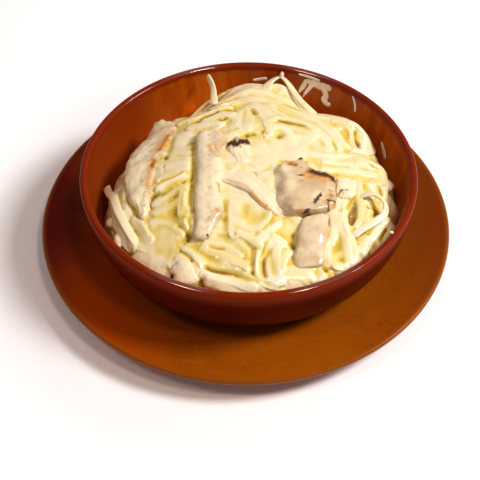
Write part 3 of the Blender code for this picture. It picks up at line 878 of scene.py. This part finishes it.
low_sauce = np.maximum(blurred(top, 2.2) - LOWEST_SAUCE - 0.6 * dry, form - 3.0)
pool_sauce = blurred(np.maximum(top, form - 1.5), 4.0) + POOL_LIFT
ripple = blurred(rng.normal(size=form.shape), 2.4)
sauce = low_sauce + (pool_sauce - low_sauce) * drowned + RIPPLE_HEIGHT * ripple / ripple.std()

# its edge runs where the mound's general form meets the wall, found by halving the gap
angles = all_round(SAUCE_TURNS)
edge = np.full(SAUCE_TURNS, 95.0)
for _ in range(40):
    height = mound(BOWL_X / MM + edge * np.cos(angles), edge * np.sin(angles))
    edge = (edge + wall_radius(height) + WALL_LAP) / 2
share = np.linspace(0.0, 1.0, SAUCE_RINGS + 1)[1:, None]
x, y = BOWL_X / MM + share * edge * np.cos(angles), share * edge * np.sin(angles)
z = sauce[cell_of(x, y)]
floor_height = bowl_floor / MM - FLOOR_LAP
side_z = floor_height + np.linspace(1.0, 0.0, 9)[1:, None] * (z[-1] - floor_height)
side_r = wall_radius(side_z) + WALL_LAP
side_r[-1] = inside_base / MM
gather(np.concatenate([
    np.stack([x, y, z], axis=-1),
    np.stack([BOWL_X / MM + side_r * np.cos(angles), side_r * np.sin(angles), side_z], axis=-1)]))

VOXEL = 0.00058
CLING = 0.0008              # gaps narrower than twice this fill with sauce
EVENED = 0.7                # the share of the ribbons' relief that the sauce on them takes away
MOST_TRIANGLES = 190000


def add_modifier(piece, kind, **settings):
    """Adds a modifier of a kind to a piece and sets it."""
    modifier = piece.modifiers.new(kind.lower(), kind)
    for key, value in settings.items():
        setattr(modifier, key, value)


def baked(piece, name):
    """A new object with the mesh that piece's modifiers give; piece itself is removed."""
    graph = bpy.context.evaluated_depsgraph_get()
    mesh = bpy.data.meshes.new_from_object(piece.evaluated_get(graph), depsgraph=graph)
    bpy.data.objects.remove(piece)
    result = bpy.data.objects.new(name, mesh)
    bpy.context.scene.collection.objects.link(result)
    mesh.shade_smooth()
    return result


sauce_finish, place = new_finish("cream_sauce", {
    "Roughness": 0.34, "Coat Weight": 0.6, "Coat Roughness": 0.07, "Specular IOR Level": 0.4,
    "Subsurface Weight": 0.3, "Subsurface Radius": (1.0, 0.7, 0.3), "Subsurface Scale": 0.0025})

raw = add_piece("noodles_raw", np.vstack(laid_points) * MM, laid_faces, sauce_finish)
voxel = VOXEL
add_modifier(raw, "REMESH", mode="VOXEL", voxel_size=voxel, use_smooth_shade=True)
add_modifier(raw, "DISPLACE", strength=CLING, mid_level=0.0)
add_modifier(raw, "REMESH", mode="VOXEL", voxel_size=voxel, use_smooth_shade=True)
add_modifier(raw, "DISPLACE", strength=-CLING, mid_level=0.0)
add_modifier(raw, "SMOOTH", factor=0.5, iterations=3)
bpy.context.view_layer.update()
noodles = baked(raw, "noodles_fused")
add_modifier(noodles, "DECIMATE",
             ratio=min(1.0, MOST_TRIANGLES / (2 * len(noodles.data.polygons))))
noodles = baked(noodles, "sauced_noodles")
noodles.data.materials.clear()
noodles.data.materials.append(sauce_finish)

spots = np.empty(len(noodles.data.vertices) * 3)
noodles.data.vertices.foreach_get("co", spots)
spots = spots.reshape(-1, 3) / MM
where = cell_of(spots[:, 0], spots[:, 1])
surface = np.maximum(top, sauce)
# 1 down to 4 mm under the heap's surface, and fading to 0 at 8 mm
upper = np.clip((spots[:, 2] - surface[where] + 8.0) / 4.0, 0.0, 1.0)
# how far a point lies under the heap round it, near and wider, and how golden its gap looks; the
# finish paints this in as painted shade together with the ribbons' own yellow
hollow = (0.34 * (blurred(surface, 2.0)[where] - spots[:, 2])
          + 0.14 * (blurred(surface, 6.0)[where] - spots[:, 2]))
# the ribbons' edges are painted golden too, as painted shade along the seams between them
seam_shade = 0.26 * blurred(seam, 0.5) * (1.0 - drowned)
hollow = np.where(upper > 0.5, hollow, 0.0) + (golden + seam_shade)[where] * upper
# the sauce evens out the ribbons, least where it has run off, and leaves the gaps open
settled = EVENED * (1.0 - 0.6 * dry) * (blurred(surface, 2.8) - blurred(surface, 0.5)) - carved
spots[:, 2] += level_at(settled, spots[:, 0], spots[:, 1]) * upper
noodles.data.vertices.foreach_set("co", (spots * MM).ravel())
noodles.data.update()


def give_attribute(mesh, name, values):
    """One number, or one vector, for each point of a mesh."""
    values = np.asarray(values, np.float32)
    kind, key = ("FLOAT", "value") if values.ndim == 1 else ("FLOAT_VECTOR", "vector")
    mesh.attributes.new(name, kind, "POINT").data.foreach_set(key, values.ravel())


def give_sauce(piece, hollow, cover, tone, thin):
    """What the sauce's finish reads, each one number for the whole piece or one for each point:
    how deep it lies in a gap, which is painted golden and dark as painted shade, how thickly the
    sauce covers it, its own tone, and how far the sauce is a thin dried film."""
    for name, value in (("hollow", hollow), ("cover", cover), ("tone", tone), ("thin", thin)):
        give_attribute(piece.data, name, np.broadcast_to(value, len(piece.data.vertices)))


give_sauce(noodles, np.clip(hollow, -1.0, 1.0), drowned[where], blurred(tone, 0.6)[where], 0.0)

PASTA, PALE_PASTA, CREAM = (0.85, 0.71, 0.36), (0.90, 0.80, 0.54), (0.89, 0.78, 0.50)
# YOLK and GOLD are partly the ribbons' own yellow and partly painted shade; the darkest gap colour
# is painted shade
YOLK, GOLD, GAP_PAINTED_SHADE = (0.80, 0.64, 0.18), (0.62, 0.44, 0.050), (0.27, 0.14, 0.010)
FILM_PINK, FILM_WHITE = (0.88, 0.62, 0.54), (1.0, 0.90, 0.92)


def attribute(place, name, output=2):
    """A signal of the number (output 2) or the vector (output 1) in a mesh's attribute."""
    return place.node("ShaderNodeAttribute", {"attribute_name": name}, {}, output=output)


mottle = place.noise(110.0, detail=3.0)
fine = place.noise(900.0)
plain = (mottle * 0.8 + 0.16 * attribute(place, "tone") + 0.1).between(0.25, 0.75).mixed(
    PASTA, PALE_PASTA)
creamy = (attribute(place, "cover") * 0.8 + mottle * 0.3).between(0.3, 0.9).mixed(plain, CREAM)
# the gaps are painted yellow, then gold, then dark brown: partly the ribbons' own yellow where the
# sauce is thin, and partly painted shade, darkest in the deepest gaps
low = attribute(place, "hollow") + 0.2 * mottle - 0.1
yellow = low.between(0.0, 0.36).mixed(creamy, YOLK)
golden_gap = low.between(0.28, 0.70).mixed(yellow, GOLD)
painted_shade_gap = low.between(0.70, 1.0).mixed(golden_gap, GAP_PAINTED_SHADE)
film = (0.2 * fine + 0.8 * mottle).between(0.42, 0.55).mixed(FILM_PINK, FILM_WHITE)
connect(sauce_finish, "Base Color", attribute(place, "thin").mixed(painted_shade_gap, film))
connect(sauce_finish, "Roughness", 0.28 + 0.15 * mottle + 0.3 * low.between(0.25, 0.70))
connect(sauce_finish, "Coat Weight", 0.6 - 0.5 * low.between(0.15, 0.60))
emboss(sauce_finish, mottle * 0.7 + fine * 0.1, 0.3, 0.0008)
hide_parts("pasta")
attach(noodles, "root")


# ---- loose ends of the noodles ------------------------------------------------------------------
# A few ribbons stand clear of the heap: one leans on the back wall, one folds up over the back,
# one lies alone along the left flank, and one turns in an open curl at the right.
LOOSE_RIBBONS = {
    "ribbon_back": ([(-21, 63, 58), (-22, 71, 58), (-22.5, 79, 57.5), (-24, 87, 57.5),
                     (-27, 94, 59)], (0.2, 0.3, 0.5, 0.9, 1.3), 4.6),
    "ribbon_fold": ([(12, 80, 55), (15, 86, 55.5), (19, 91, 56.3), (23.5, 94, 57),
                     (26.5, 93, 57.3), (30, 88, 56.8), (33.5, 80, 56), (38, 70, 55.5),
                     (43, 62.5, 55), (49, 57, 52.5)],
                    (0.0, 0.2, 0.5, 0.7, 0.5, 0.2, 0.0, -0.1, -0.1, 0.0), 5.4),
    "ribbon_left": ([(-92.5, 6, 35), (-89.5, -4, 39.5), (-86, -13, 45), (-83.5, -20, 48.5),
                     (-79.5, -33, 52.5), (-75.5, -42, 53.5), (-71.5, -50, 53), (-66.5, -58, 51),
                     (-60, -65, 47.5), (-54, -70, 42)],
                    (-0.5, -0.5, -0.4, -0.3, -0.2, -0.1, 0.0, 0.0, 0.0, 0.0), 5.8),
    "ribbon_curl": ([(64, -29, 52), (70, -25.5, 57), (76, -24.5, 59), (81, -25, 59),
                     (85.5, -29, 57.5), (86.5, -34, 56), (84, -40, 55.5), (78, -45, 55.5),
                     (71, -50, 55.5), (64, -56, 55)],
                    (0.1, 0.1, 0.3, 0.5, 0.9, 0.7, 0.3, 0.2, 0.1, 0.0), 5.2),
}
LOOSE_STEP = 0.5
LOOSE_THICK = 2.1
LOOSE_SWELL = 0.05

for name, (points, rolls, width) in LOOSE_RIBBONS.items():
    path = curve(points, LOOSE_STEP)
    roll = np.interp(np.linspace(0, 1, len(path)), np.linspace(0, 1, len(rolls)), rolls)
    swell = 1.0 + LOOSE_SWELL * wander(len(path), LOOSE_STEP, 1.0)
    skin, faces = closed_skin(swept(path, smoothed(roll, 6.0), width * swell, LOOSE_THICK))
    ribbon = add_piece(name, skin * MM, faces, sauce_finish)
    add_modifier(ribbon, "SUBSURF", levels=1, render_levels=1)
    give_sauce(ribbon, hollow=-0.1, cover=0.1, tone=0.5, thin=0.0)
    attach(ribbon, "root")


# ---- smears and drops of sauce ------------------------------------------------------------------
# Where the noodles brushed the bowl's wall as they were turned out, the sauce left thin smears
# that have run down a little and dried pinkish over the glaze.  A drop hangs on the folded
# ribbon, a crumb sits on the rim, and two lumps lie along the heap's left edge.
SMEARS = {
    "smear_patch": ([(67, 54.5, 3.0), (63, 54, 5.0), (60, 53.6, 6.6), (57.5, 54, 6.0),
                     (54.8, 55.5, 3.6)], 0.78),
    "smear_leg": ([(65.8, 54.5, 4.0), (66.9, 49.5, 3.6), (68.4, 43.5, 1.8)], 0.9),
    "smear_inner": ([(63, 53, 3.4), (65, 46.5, 2.6), (66.6, 40.5, 1.2)], 1.0),
    "smear_run": ([(59.5, 53, 5.4), (57.6, 50.5, 5.8), (56.8, 47, 4.4), (57.2, 43.8, 4.6),
                   (55.6, 41.8, 4.4), (54, 43, 2.6)], 0.78),
    "smear_streak": ([(44.8, 58, 1.2), (43.1, 52.5, 2.2), (42.3, 46.5, 1.4)], 0.9),
    "smear_dab": ([(25, 42.5, 3.2), (21, 38, 5.2), (18.5, 36, 2.8)], 0.6),
    "smear_back": ([(88, 48.3, 1.8), (82, 50.5, 2.6)], 0.8),
    "smear_top": ([(69.5, 58.4, 1.2), (65, 58.2, 2.2), (60, 58.0, 1.4)], 0.6),
}
SMEAR_THICK = 0.9
SMEAR_STEP = 0.4
SMEAR_SINK = 0.15
SMEAR_SWELL = 0.18
MM_PER_DEGREE = 1.5         # round the wall

# each smear: its route as (degrees round the wall, height, width), and how pink it has dried
for name, (route, pink) in SMEARS.items():
    angle, height, width = curve(np.array(route) * (MM_PER_DEGREE, 1, 1), SMEAR_STEP).T
    angle = np.radians(angle / MM_PER_DEGREE)
    reach = wall_radius(height) - SMEAR_SINK
    line = np.stack([BOWL_X / MM + reach * np.cos(angle), reach * np.sin(angle), height], axis=-1)
    inward = np.stack([-np.cos(angle), -np.sin(angle), 0 * angle], axis=-1)
    side = np.cross(headings(line), inward)
    flat, tall = superellipse(-all_round(SECTION_SIDES), 2.0)
    steps = np.minimum(np.arange(len(line)), np.arange(len(line))[::-1])[:, None]
    tip = round_tip(SMEAR_STEP * steps / (0.5 * width.mean()))
    swell = 1.0 + SMEAR_SWELL * wander(len(line), 2.0, 1.0)
    wide = 0.5 * (width * swell)[:, None] * tip * flat
    high = 0.5 * SMEAR_THICK * tip * tall
    rings = line[:, None] + wide[..., None] * side[:, None] + high[..., None] * inward[:, None]
    skin, faces = closed_skin(rings)
    smear = add_piece(name, skin * MM, faces, sauce_finish)
    give_sauce(smear, hollow=0.0, cover=0.5, tone=0.0, thin=pink)
    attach(smear, "root")

DROPS = {"drop_fold": ((26, 93.5, 59.5), (1.6, 1.8, 2.6), 0.8),
         "drop_rim": ((86.5, -58.5, 61.3), (1.3, 1.1, 0.8), 0.4),
         "lump_left": ((-84.5, -34, 43), (3.4, 4.2, 2.6), 0.25),
         "lump_low_left": ((-77.5, -51, 46), (4.2, 6.0, 3.4), 0.15)}
DROP_RINGS = 24
DROP_TURNS = 32

# each drop: its middle, its half sizes, and how pink it has dried
for name, (center, radii, pink) in DROPS.items():
    rise = np.linspace(-np.pi / 2, np.pi / 2, DROP_RINGS)[1:-1, None]
    turn = -all_round(DROP_TURNS)
    ball = np.stack([np.cos(rise) * np.cos(turn), np.cos(rise) * np.sin(turn),
                     np.sin(rise) + 0 * turn], axis=-1) * radii
    skin, faces = closed_skin(ball * (1.0 + 0.08 * np.sin(2.2 * ball + 1.0)) + center)
    drop = add_piece(name, skin * MM, faces, sauce_finish)
    give_sauce(drop, hollow=0.0, cover=0.5, tone=0.0, thin=pink)
    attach(drop, "root")


# ---- grilled chicken ----------------------------------------------------------------------------
# Slices of a chicken breast that was grilled whole and cut across: pale, fibrous meat with a
# browned, here and there blackened skin side along one edge, laid on the pasta.  The sauce
# clings to them in a film and drowns their low sides.
LENGTH_STEPS = 110
GIRTH_STEPS = 72
EDGE_RUN = 100.0            # what each edge counts as long while its curve is drawn
EDGE_STEP = 0.5
END_CLOSE = 2.6             # the power of the curve that closes a slice's two ends
LUMP_WAVES = 14


def lumps(points, size, seed):
    """Smooth random relief of about -1 to 1: a sum of sine waves in random directions."""
    local = np.random.default_rng(seed)
    out = 0.0
    for _ in range(LUMP_WAVES):
        direction = local.normal(size=3)
        direction *= 2 * np.pi / (size * np.linalg.norm(direction) * local.uniform(0.7, 1.4))
        out = out + np.sin(points @ direction + local.uniform(0, 6.3))
    return out / math.sqrt(LUMP_WAVES)


def slice_surface(left, right, thick, rise, power, blunt, rough, seed, torn=0.0,
                  slant=(-1.0, 0.0)):
    """Rings of one slice of chicken, and where each point lies along and across its fibres.

    The slice runs between the curves of its left and its right edge, (x, y, z) in mm.  Its
    section is a superellipse of the given power, as wide as the two are apart and thick from
    top to bottom, hung so that its top stands by rise over the edges; near either end it closes
    over a blunt distance.  Left of slant[0], of -1 to 1 across, it falls by slant[1] in mm.
    Ridges along the meat's fibres and lumps stand out from it by rough, and torn roughens its
    first end.
    """
    steps = np.linspace(0.0, 1.0, LENGTH_STEPS) * EDGE_RUN
    places = np.linspace(0.0, 1.0, len(left)) * EDGE_RUN
    edges = []
    for edge in (left, right):
        fine = curve(np.column_stack([places, edge]), EDGE_STEP)
        edges.append(read_at(steps, fine[:, 0], fine[:, 1:]))
    middle = 0.5 * (edges[0] + edges[1])
    side = edges[1] - edges[0]
    half = 0.5 * np.linalg.norm(side, axis=1)
    side /= 2 * half[:, None]
    forward = headings(middle)
    up = np.cross(forward, side)
    up /= np.linalg.norm(up, axis=1)[:, None]
    along = lengths_along(middle)
    near = np.minimum(along / blunt[0], 1.0)
    far = np.minimum((along[-1] - along) / blunt[1], 1.0)
    close = ((1 - (1 - near) ** END_CLOSE) * (1 - (1 - far) ** END_CLOSE)) ** (1 / END_CLOSE)
    flat, tall = superellipse(np.linspace(-np.pi, np.pi, GIRTH_STEPS, endpoint=False), power)
    wide, high = (half * close)[:, None] * flat, (0.5 * thick * close ** 0.8)[:, None] * tall
    drop = slant[1] * np.clip((slant[0] - flat) / (slant[0] + 1.001), 0.0, 1.0)
    rings = (middle[:, None] + wide[..., None] * side[:, None]
             + (high + rise - 0.5 * thick - drop)[..., None] * up[:, None])
    outward = flat[:, None] * side[:, None] + tall[:, None] * up[:, None]
    outward /= np.maximum(np.linalg.norm(outward, axis=2), 1e-6)[..., None]
    fibre = np.stack([wide, high, 0.16 * along[:, None] + 0 * wide], axis=-1)
    relief = rough * (0.10 * lumps(fibre, 2.4, seed) + 0.04 * lumps(fibre, 1.1, seed + 1)
                      + 0.50 * lumps(rings, 13.0, seed + 2) + 0.16 * lumps(rings, 5.0, seed + 3))
    rings = rings + (relief * close[:, None])[..., None] * outward
    ragged = torn * lumps(fibre * (1, 1, 0), 5.0, seed + 4) * np.clip(1 - along / 8, 0, 1)[:, None]
    return rings + ragged[..., None] * forward[:, None], fibre


def marked(points, marks, seed):
    """How strongly marks (route in mm, reach, strength) colour each point, ragged at their edge."""
    ragged = np.maximum(1.0 + 0.35 * lumps(points, 3.0, seed) + 0.2 * lumps(points, 1.3, seed), 0.3)
    out = np.zeros(len(points))
    for route, reach, strength in marks:
        gap = gap_from(route, points[:, 0], points[:, 1])
        out = np.maximum(out, strength * np.exp(-(gap / (reach * ragged)) ** 2))
    return out


FLESH_DARK, FLESH_PALE, MEAT_SAUCE = (0.58, 0.42, 0.23), (0.72, 0.57, 0.36), (0.86, 0.74, 0.48)
TAN, SEAR, BURN = (0.66, 0.34, 0.10), (0.42, 0.16, 0.020), (0.060, 0.018, 0.006)

meat, place = new_finish("grilled_chicken", {
    "Roughness": 0.4, "Coat Weight": 0.3, "Coat Roughness": 0.1, "Specular IOR Level": 0.35})
brown = attribute(place, "brown")
char = attribute(place, "char")
strands = attribute(place, "fibre", output=1).noise(700.0)
patches = place.noise(110.0)
flesh = (strands * 0.15 + patches * 0.85).between(0.3, 0.7).mixed(FLESH_DARK, FLESH_PALE)
sauced = (attribute(place, "film") + patches * 0.6 - 0.3).between(0.1, 0.9).mixed(
    flesh, MEAT_SAUCE)
tanned = (brown + strands * 0.14 - 0.07).between(0.02, 0.6).mixed(sauced, TAN)
seared = (brown + strands * 0.2 - 0.1).between(0.5, 1.0).mixed(tanned, SEAR)
burnt = (char + strands * 0.2 - 0.1).between(0.1, 0.8).mixed(seared, BURN)
connect(meat, "Base Color", burnt)
connect(meat, "Roughness", 0.32 + 0.2 * patches + 0.4 * char)
emboss(meat, strands, 0.12, 0.0006)

# each slice: its left and right edge from the back to the front, its thickness and how far its
# top stands over the edges, the section's power, how far its two ends take to close, and its
# browned and blackened marks and its film of sauce (routes, reach and strength)
CHICKEN = {
    "chicken_left": (dict(
        left=[(-63.5, 56, 48), (-65.5, 49, 48), (-67.5, 41, 48.5), (-73.5, 31.5, 48.5),
              (-78, 23, 49), (-79.5, 11, 50), (-80, -4.5, 52), (-76.5, -17, 53.5),
              (-72.5, -27, 54.8), (-68, -36, 55.6), (-65, -45, 55)],
        right=[(-50.5, 55.5, 51.5), (-45.5, 46, 53), (-47.5, 36.5, 55), (-50.5, 23.5, 56.5),
               (-54, 14.5, 57.5), (-57.5, 2.5, 58.5), (-60, -11, 59), (-60, -19.5, 59),
               (-60.5, -28, 58.5), (-60.5, -36, 57.5), (-61, -43.5, 56)],
        thick=9.0, rise=1.4, power=2.5, blunt=(2.5, 5.0), rough=0.9, torn=1.6, seed=400),
        [([(-52, 34), (-54, 26), (-56.5, 19)], 2.5, 0.9), ([(-57, 19)], 2.4, 1.15),
         ([(-59.5, 8), (-60, 1)], 2.3, 1.1), ([(-62, -2), (-62, -12), (-61, -20)], 1.8, 0.5),
         ([(-49, 40), (-48, 33)], 2.4, 0.6), ([(-50, 30), (-52, 20)], 2.0, 0.6)],
        [([(-60.5, 4)], 0.9, 0.9), ([(-63, -22)], 0.7, 0.9), ([(-63, -33)], 0.8, 0.9),
         ([(-61, -19)], 0.8, 0.4), ([(-49, 25), (-50, 20)], 0.8, 0.35)],
        [([(-68, 24), (-72, 5), (-70, -18), (-66, -36)], 8.0, 1.0)]),
    "chicken_centre": (dict(
        left=[(-30, 30, 65), (-32.5, 24.5, 65.5), (-32.5, 10.5, 66.5), (-32, -0.5, 67),
              (-31, -11.5, 67.5), (-32, -24.5, 67), (-32, -35.5, 66), (-31, -44.5, 65),
              (-30.5, -51.5, 64), (-32, -60.5, 62), (-31.5, -64, 61.5)],
        right=[(-15, 25.5, 67.5), (-11.5, 18.5, 68), (-16.5, 9, 68.5), (-15.5, -3.5, 69),
               (-14.5, -14, 69), (-16.5, -26, 68), (-14, -37, 67), (-14.5, -46, 66),
               (-17.5, -53, 64.5), (-20.5, -60, 63), (-23, -64.5, 61.5)],
        thick=9.5, rise=1.4, power=2.6, blunt=(4.0, 4.0), rough=0.6, seed=410),
        [([(-24, 10), (-22, 4)], 1.4, 0.5), ([(-20, 11), (-18, 5)], 1.3, 0.5),
         ([(-17, -45)], 1.8, 0.9), ([(-17, -24), (-16, -30)], 1.3, 0.6)],
        [([(-23, -62)], 0.8, 0.9), ([(-17, -46)], 0.5, 0.4)],
        [([(-28, 20), (-28, -55)], 8.0, 0.95), ([(-18, -5), (-20, -40)], 6.0, 0.9)]),
    "chicken_char": (dict(
        left=[(-12, 18, 66.4), (-12, 9.5, 66.8), (-8, 0, 66.4), (-5.5, -5.5, 65.6)],
        right=[(2, 19, 66.9), (3, 10, 67.2), (3, 0.5, 66.6), (1, -5, 65.6)],
        thick=8.0, rise=1.6, power=2.5, blunt=(2.5, 5.0), rough=0.9, torn=1.2, seed=420),
        [([(-11, 15), (-5, 12), (1, 14)], 2.0, 0.7)],
        [([(-10, 14), (-5.5, 11.5)], 3.2, 1.1), ([(-3, 14), (1, 13.5)], 2.7, 1.0)],
        [([(-7, 7), (-1, 8), (-2, -3)], 6.0, 1.3)]),
    "chicken_middle": (dict(
        left=[(-17, -19, 66.2), (-8.5, -23, 66.6), (0, -27.5, 66.6), (5, -34.5, 65.8),
              (11, -41, 64.4), (17.5, -46.5, 61.8), (25, -50.5, 57.8)],
        right=[(-16, -6, 64.2), (-3.5, -7, 64.2), (7.5, -11.5, 64.2), (14, -20, 64),
               (19, -29.5, 63.6), (23.5, -37.5, 61.6), (28, -45, 57.4)],
        thick=5.5, rise=1.3, power=2.6, blunt=(6.0, 7.0), rough=0.6, seed=430),
        [([(-12, -19), (-6, -22), (0, -25), (4, -30)], 1.2, 0.35),
         ([(3, -30), (7, -36), (12, -41)], 1.3, 0.6),
         ([(14, -42), (19, -46), (25, -49)], 1.2, 0.4)],
        [([(-16, -21), (-13, -24), (-9, -25)], 0.6, 0.7), ([(12, -40)], 0.6, 0.6),
         ([(15, -43)], 0.6, 0.6), ([(-12, -13), (1, -13)], 0.5, 0.25),
         ([(2, -16), (12, -25)], 0.5, 0.25)],
        [([(-14, -11), (-4, -14), (8, -22), (20, -36)], 10.0, 1.6)]),
    "chicken_block": (dict(
        left=[(18.5, -6, 69), (14.5, -12.5, 69.5), (12.8, -18.5, 69.5), (13, -27, 69.5),
              (13.5, -35, 69), (16.5, -42, 68), (22.5, -47, 67)],
        right=[(38, -2, 69), (41, -8.5, 69), (54, -13.5, 67), (55.5, -22, 66.5),
               (55.5, -31, 66), (53.5, -39.5, 65), (41, -45, 65.5)],
        thick=13.0, rise=1.0, power=3.4, blunt=(2.0, 2.0), rough=1.1, torn=1.6,
        slant=(-0.44, 8.0), seed=440),
        [([(34, -26)], 22.0, 0.13), ([(33, -3), (38, -3)], 1.5, 0.7),
         ([(40, -14.5), (46, -17), (50, -18), (54, -17)], 2.8, 1.0),
         ([(37, -18.5), (45, -16.5)], 2.2, 0.75), ([(46, -21), (54, -22)], 2.2, 0.5),
         ([(25, -48), (30, -46.5), (35, -46)], 1.0, 0.7), ([(27, -8), (31, -10)], 2.2, 0.75),
         ([(32, -13), (35, -12)], 1.0, 0.7), ([(31, -32)], 1.2, 0.5),
         ([(50, -33), (55, -32)], 1.6, 0.6), ([(27, -36), (34, -39)], 2.5, 0.3),
         ([(49, -37), (54, -38)], 2.4, 0.6)],
        [([(34, -2.5), (38, -3)], 1.8, 0.95),
         ([(40, -13.5), (46, -15), (52, -17), (54.5, -19)], 1.7, 1.0),
         ([(50, -17.5), (54, -17)], 1.2, 0.6), ([(27, -9), (31, -10)], 1.6, 0.55),
         ([(32, -17), (35, -18)], 0.9, 0.8), ([(28, -28)], 0.9, 0.6), ([(34, -22)], 0.8, 0.5),
         ([(36, -30)], 0.6, 0.5), ([(51, -28), (53, -35)], 2.6, 0.4),
         ([(40, -34)], 0.5, 0.7), ([(41, -40), (43, -36), (46, -32)], 1.0, 1.0),
         ([(35, -45.5), (38, -44.5)], 0.7, 0.8), ([(25, -48), (34, -46)], 0.5, 0.4),
         ([(49, -36), (54, -36)], 0.8, 0.8), ([(50, -36), (50, -42)], 1.0, 0.7)],
        [([(16, -10), (15, -25), (17, -42)], 6.0, 1.1), ([(27, -20), (30, -36)], 8.0, 0.55),
         ([(42, -26), (44, -34)], 6.0, 0.3), ([(21, -8), (25, -13)], 5.0, 0.7)]),
    "chicken_small": (dict(
        left=[(57, -12.5, 62.2), (56, -19.5, 62.2), (56, -27, 61.2), (58.5, -31, 60.2)],
        right=[(71, -10, 59.2), (71, -16, 59.2), (69, -23.5, 59.2), (65.5, -29, 59.2)],
        thick=9.0, rise=0.8, power=4.2, blunt=(1.5, 2.5), rough=0.8, torn=0.8, seed=450),
        [([(56, -32), (58, -30)], 1.8, 0.5), ([(60, -25)], 2.0, 0.4)],
        [([(62, -11.5), (70.5, -9.5), (71.5, -15)], 0.7, 0.5),
         ([(57, -27), (59, -24), (64, -23)], 0.7, 0.7), ([(65, -20)], 0.8, 0.3)],
        [([(64, -21)], 12.0, 1.2)]),
    "chicken_front_right": (dict(
        left=[(33.5, -46, 62), (32, -53, 61.8), (30.2, -62, 60.5), (28.2, -73, 58),
              (27.6, -78.5, 56.3), (28.2, -82.5, 55.2)],
        right=[(50.5, -42, 62), (50, -50, 61), (48.8, -58, 59.5), (47.2, -67, 57.5),
               (46.2, -74.5, 56), (44.5, -79.5, 55.2)],
        thick=9.0, rise=1.2, power=3.2, blunt=(3.0, 2.5), rough=0.5, seed=460),
        [([(44, -80)], 1.5, 0.3)], [([(30, -82), (42, -80)], 0.6, 0.25)],
        [([(38, -50), (36, -75)], 14.0, 0.4)]),
    "chicken_right": (dict(
        left=[(84.5, 8, 48), (86, 2, 48.5), (88.5, -4, 48.5), (90.5, -9, 47)],
        right=[(91, 10, 45), (95, 4, 45), (96.5, -2, 45), (95.5, -8, 45)],
        thick=7.0, rise=1.2, power=2.4, blunt=(3.0, 3.0), rough=1.0, seed=470),
        [], [([(92, -2), (93, -10)], 0.6, 0.25)], [([(90, -5)], 5.0, 0.5)]),
    "chicken_front": (dict(
        left=[(-43.5, -75.5, 53.5), (-45.5, -81, 52), (-44.5, -86.5, 50), (-40, -90.5, 48.5)],
        right=[(-36, -73.5, 56), (-30.5, -79, 55.5), (-28, -85, 54), (-28.5, -90, 51.5)],
        thick=9.0, rise=1.8, power=2.3, blunt=(4.0, 4.0), rough=0.6, seed=480),
        [([(-43, -84)], 3.0, 0.4)], [([(-43.5, -84), (-44, -86)], 1.4, 0.9)],
        [([(-36, -82)], 18.0, 1.8)]),
}

for name, (shape, brown_marks, char_marks, film_marks) in CHICKEN.items():
    rings, along_fibres = slice_surface(**shape)
    skin, faces = closed_skin(rings)
    slice_piece = add_piece(name + "_slice", skin * MM, faces, meat)
    middles = along_fibres[[0, -1]].mean(axis=1)    # of the fans that close the two ends
    give_attribute(slice_piece.data, "fibre",
                   np.vstack([along_fibres.reshape(-1, 3), middles]) * MM)
    for kind, marks in (("brown", brown_marks), ("char", char_marks), ("film", film_marks)):
        give_attribute(slice_piece.data, kind, marked(skin, marks, shape["seed"]))
    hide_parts(name)
    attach(slice_piece, "root")
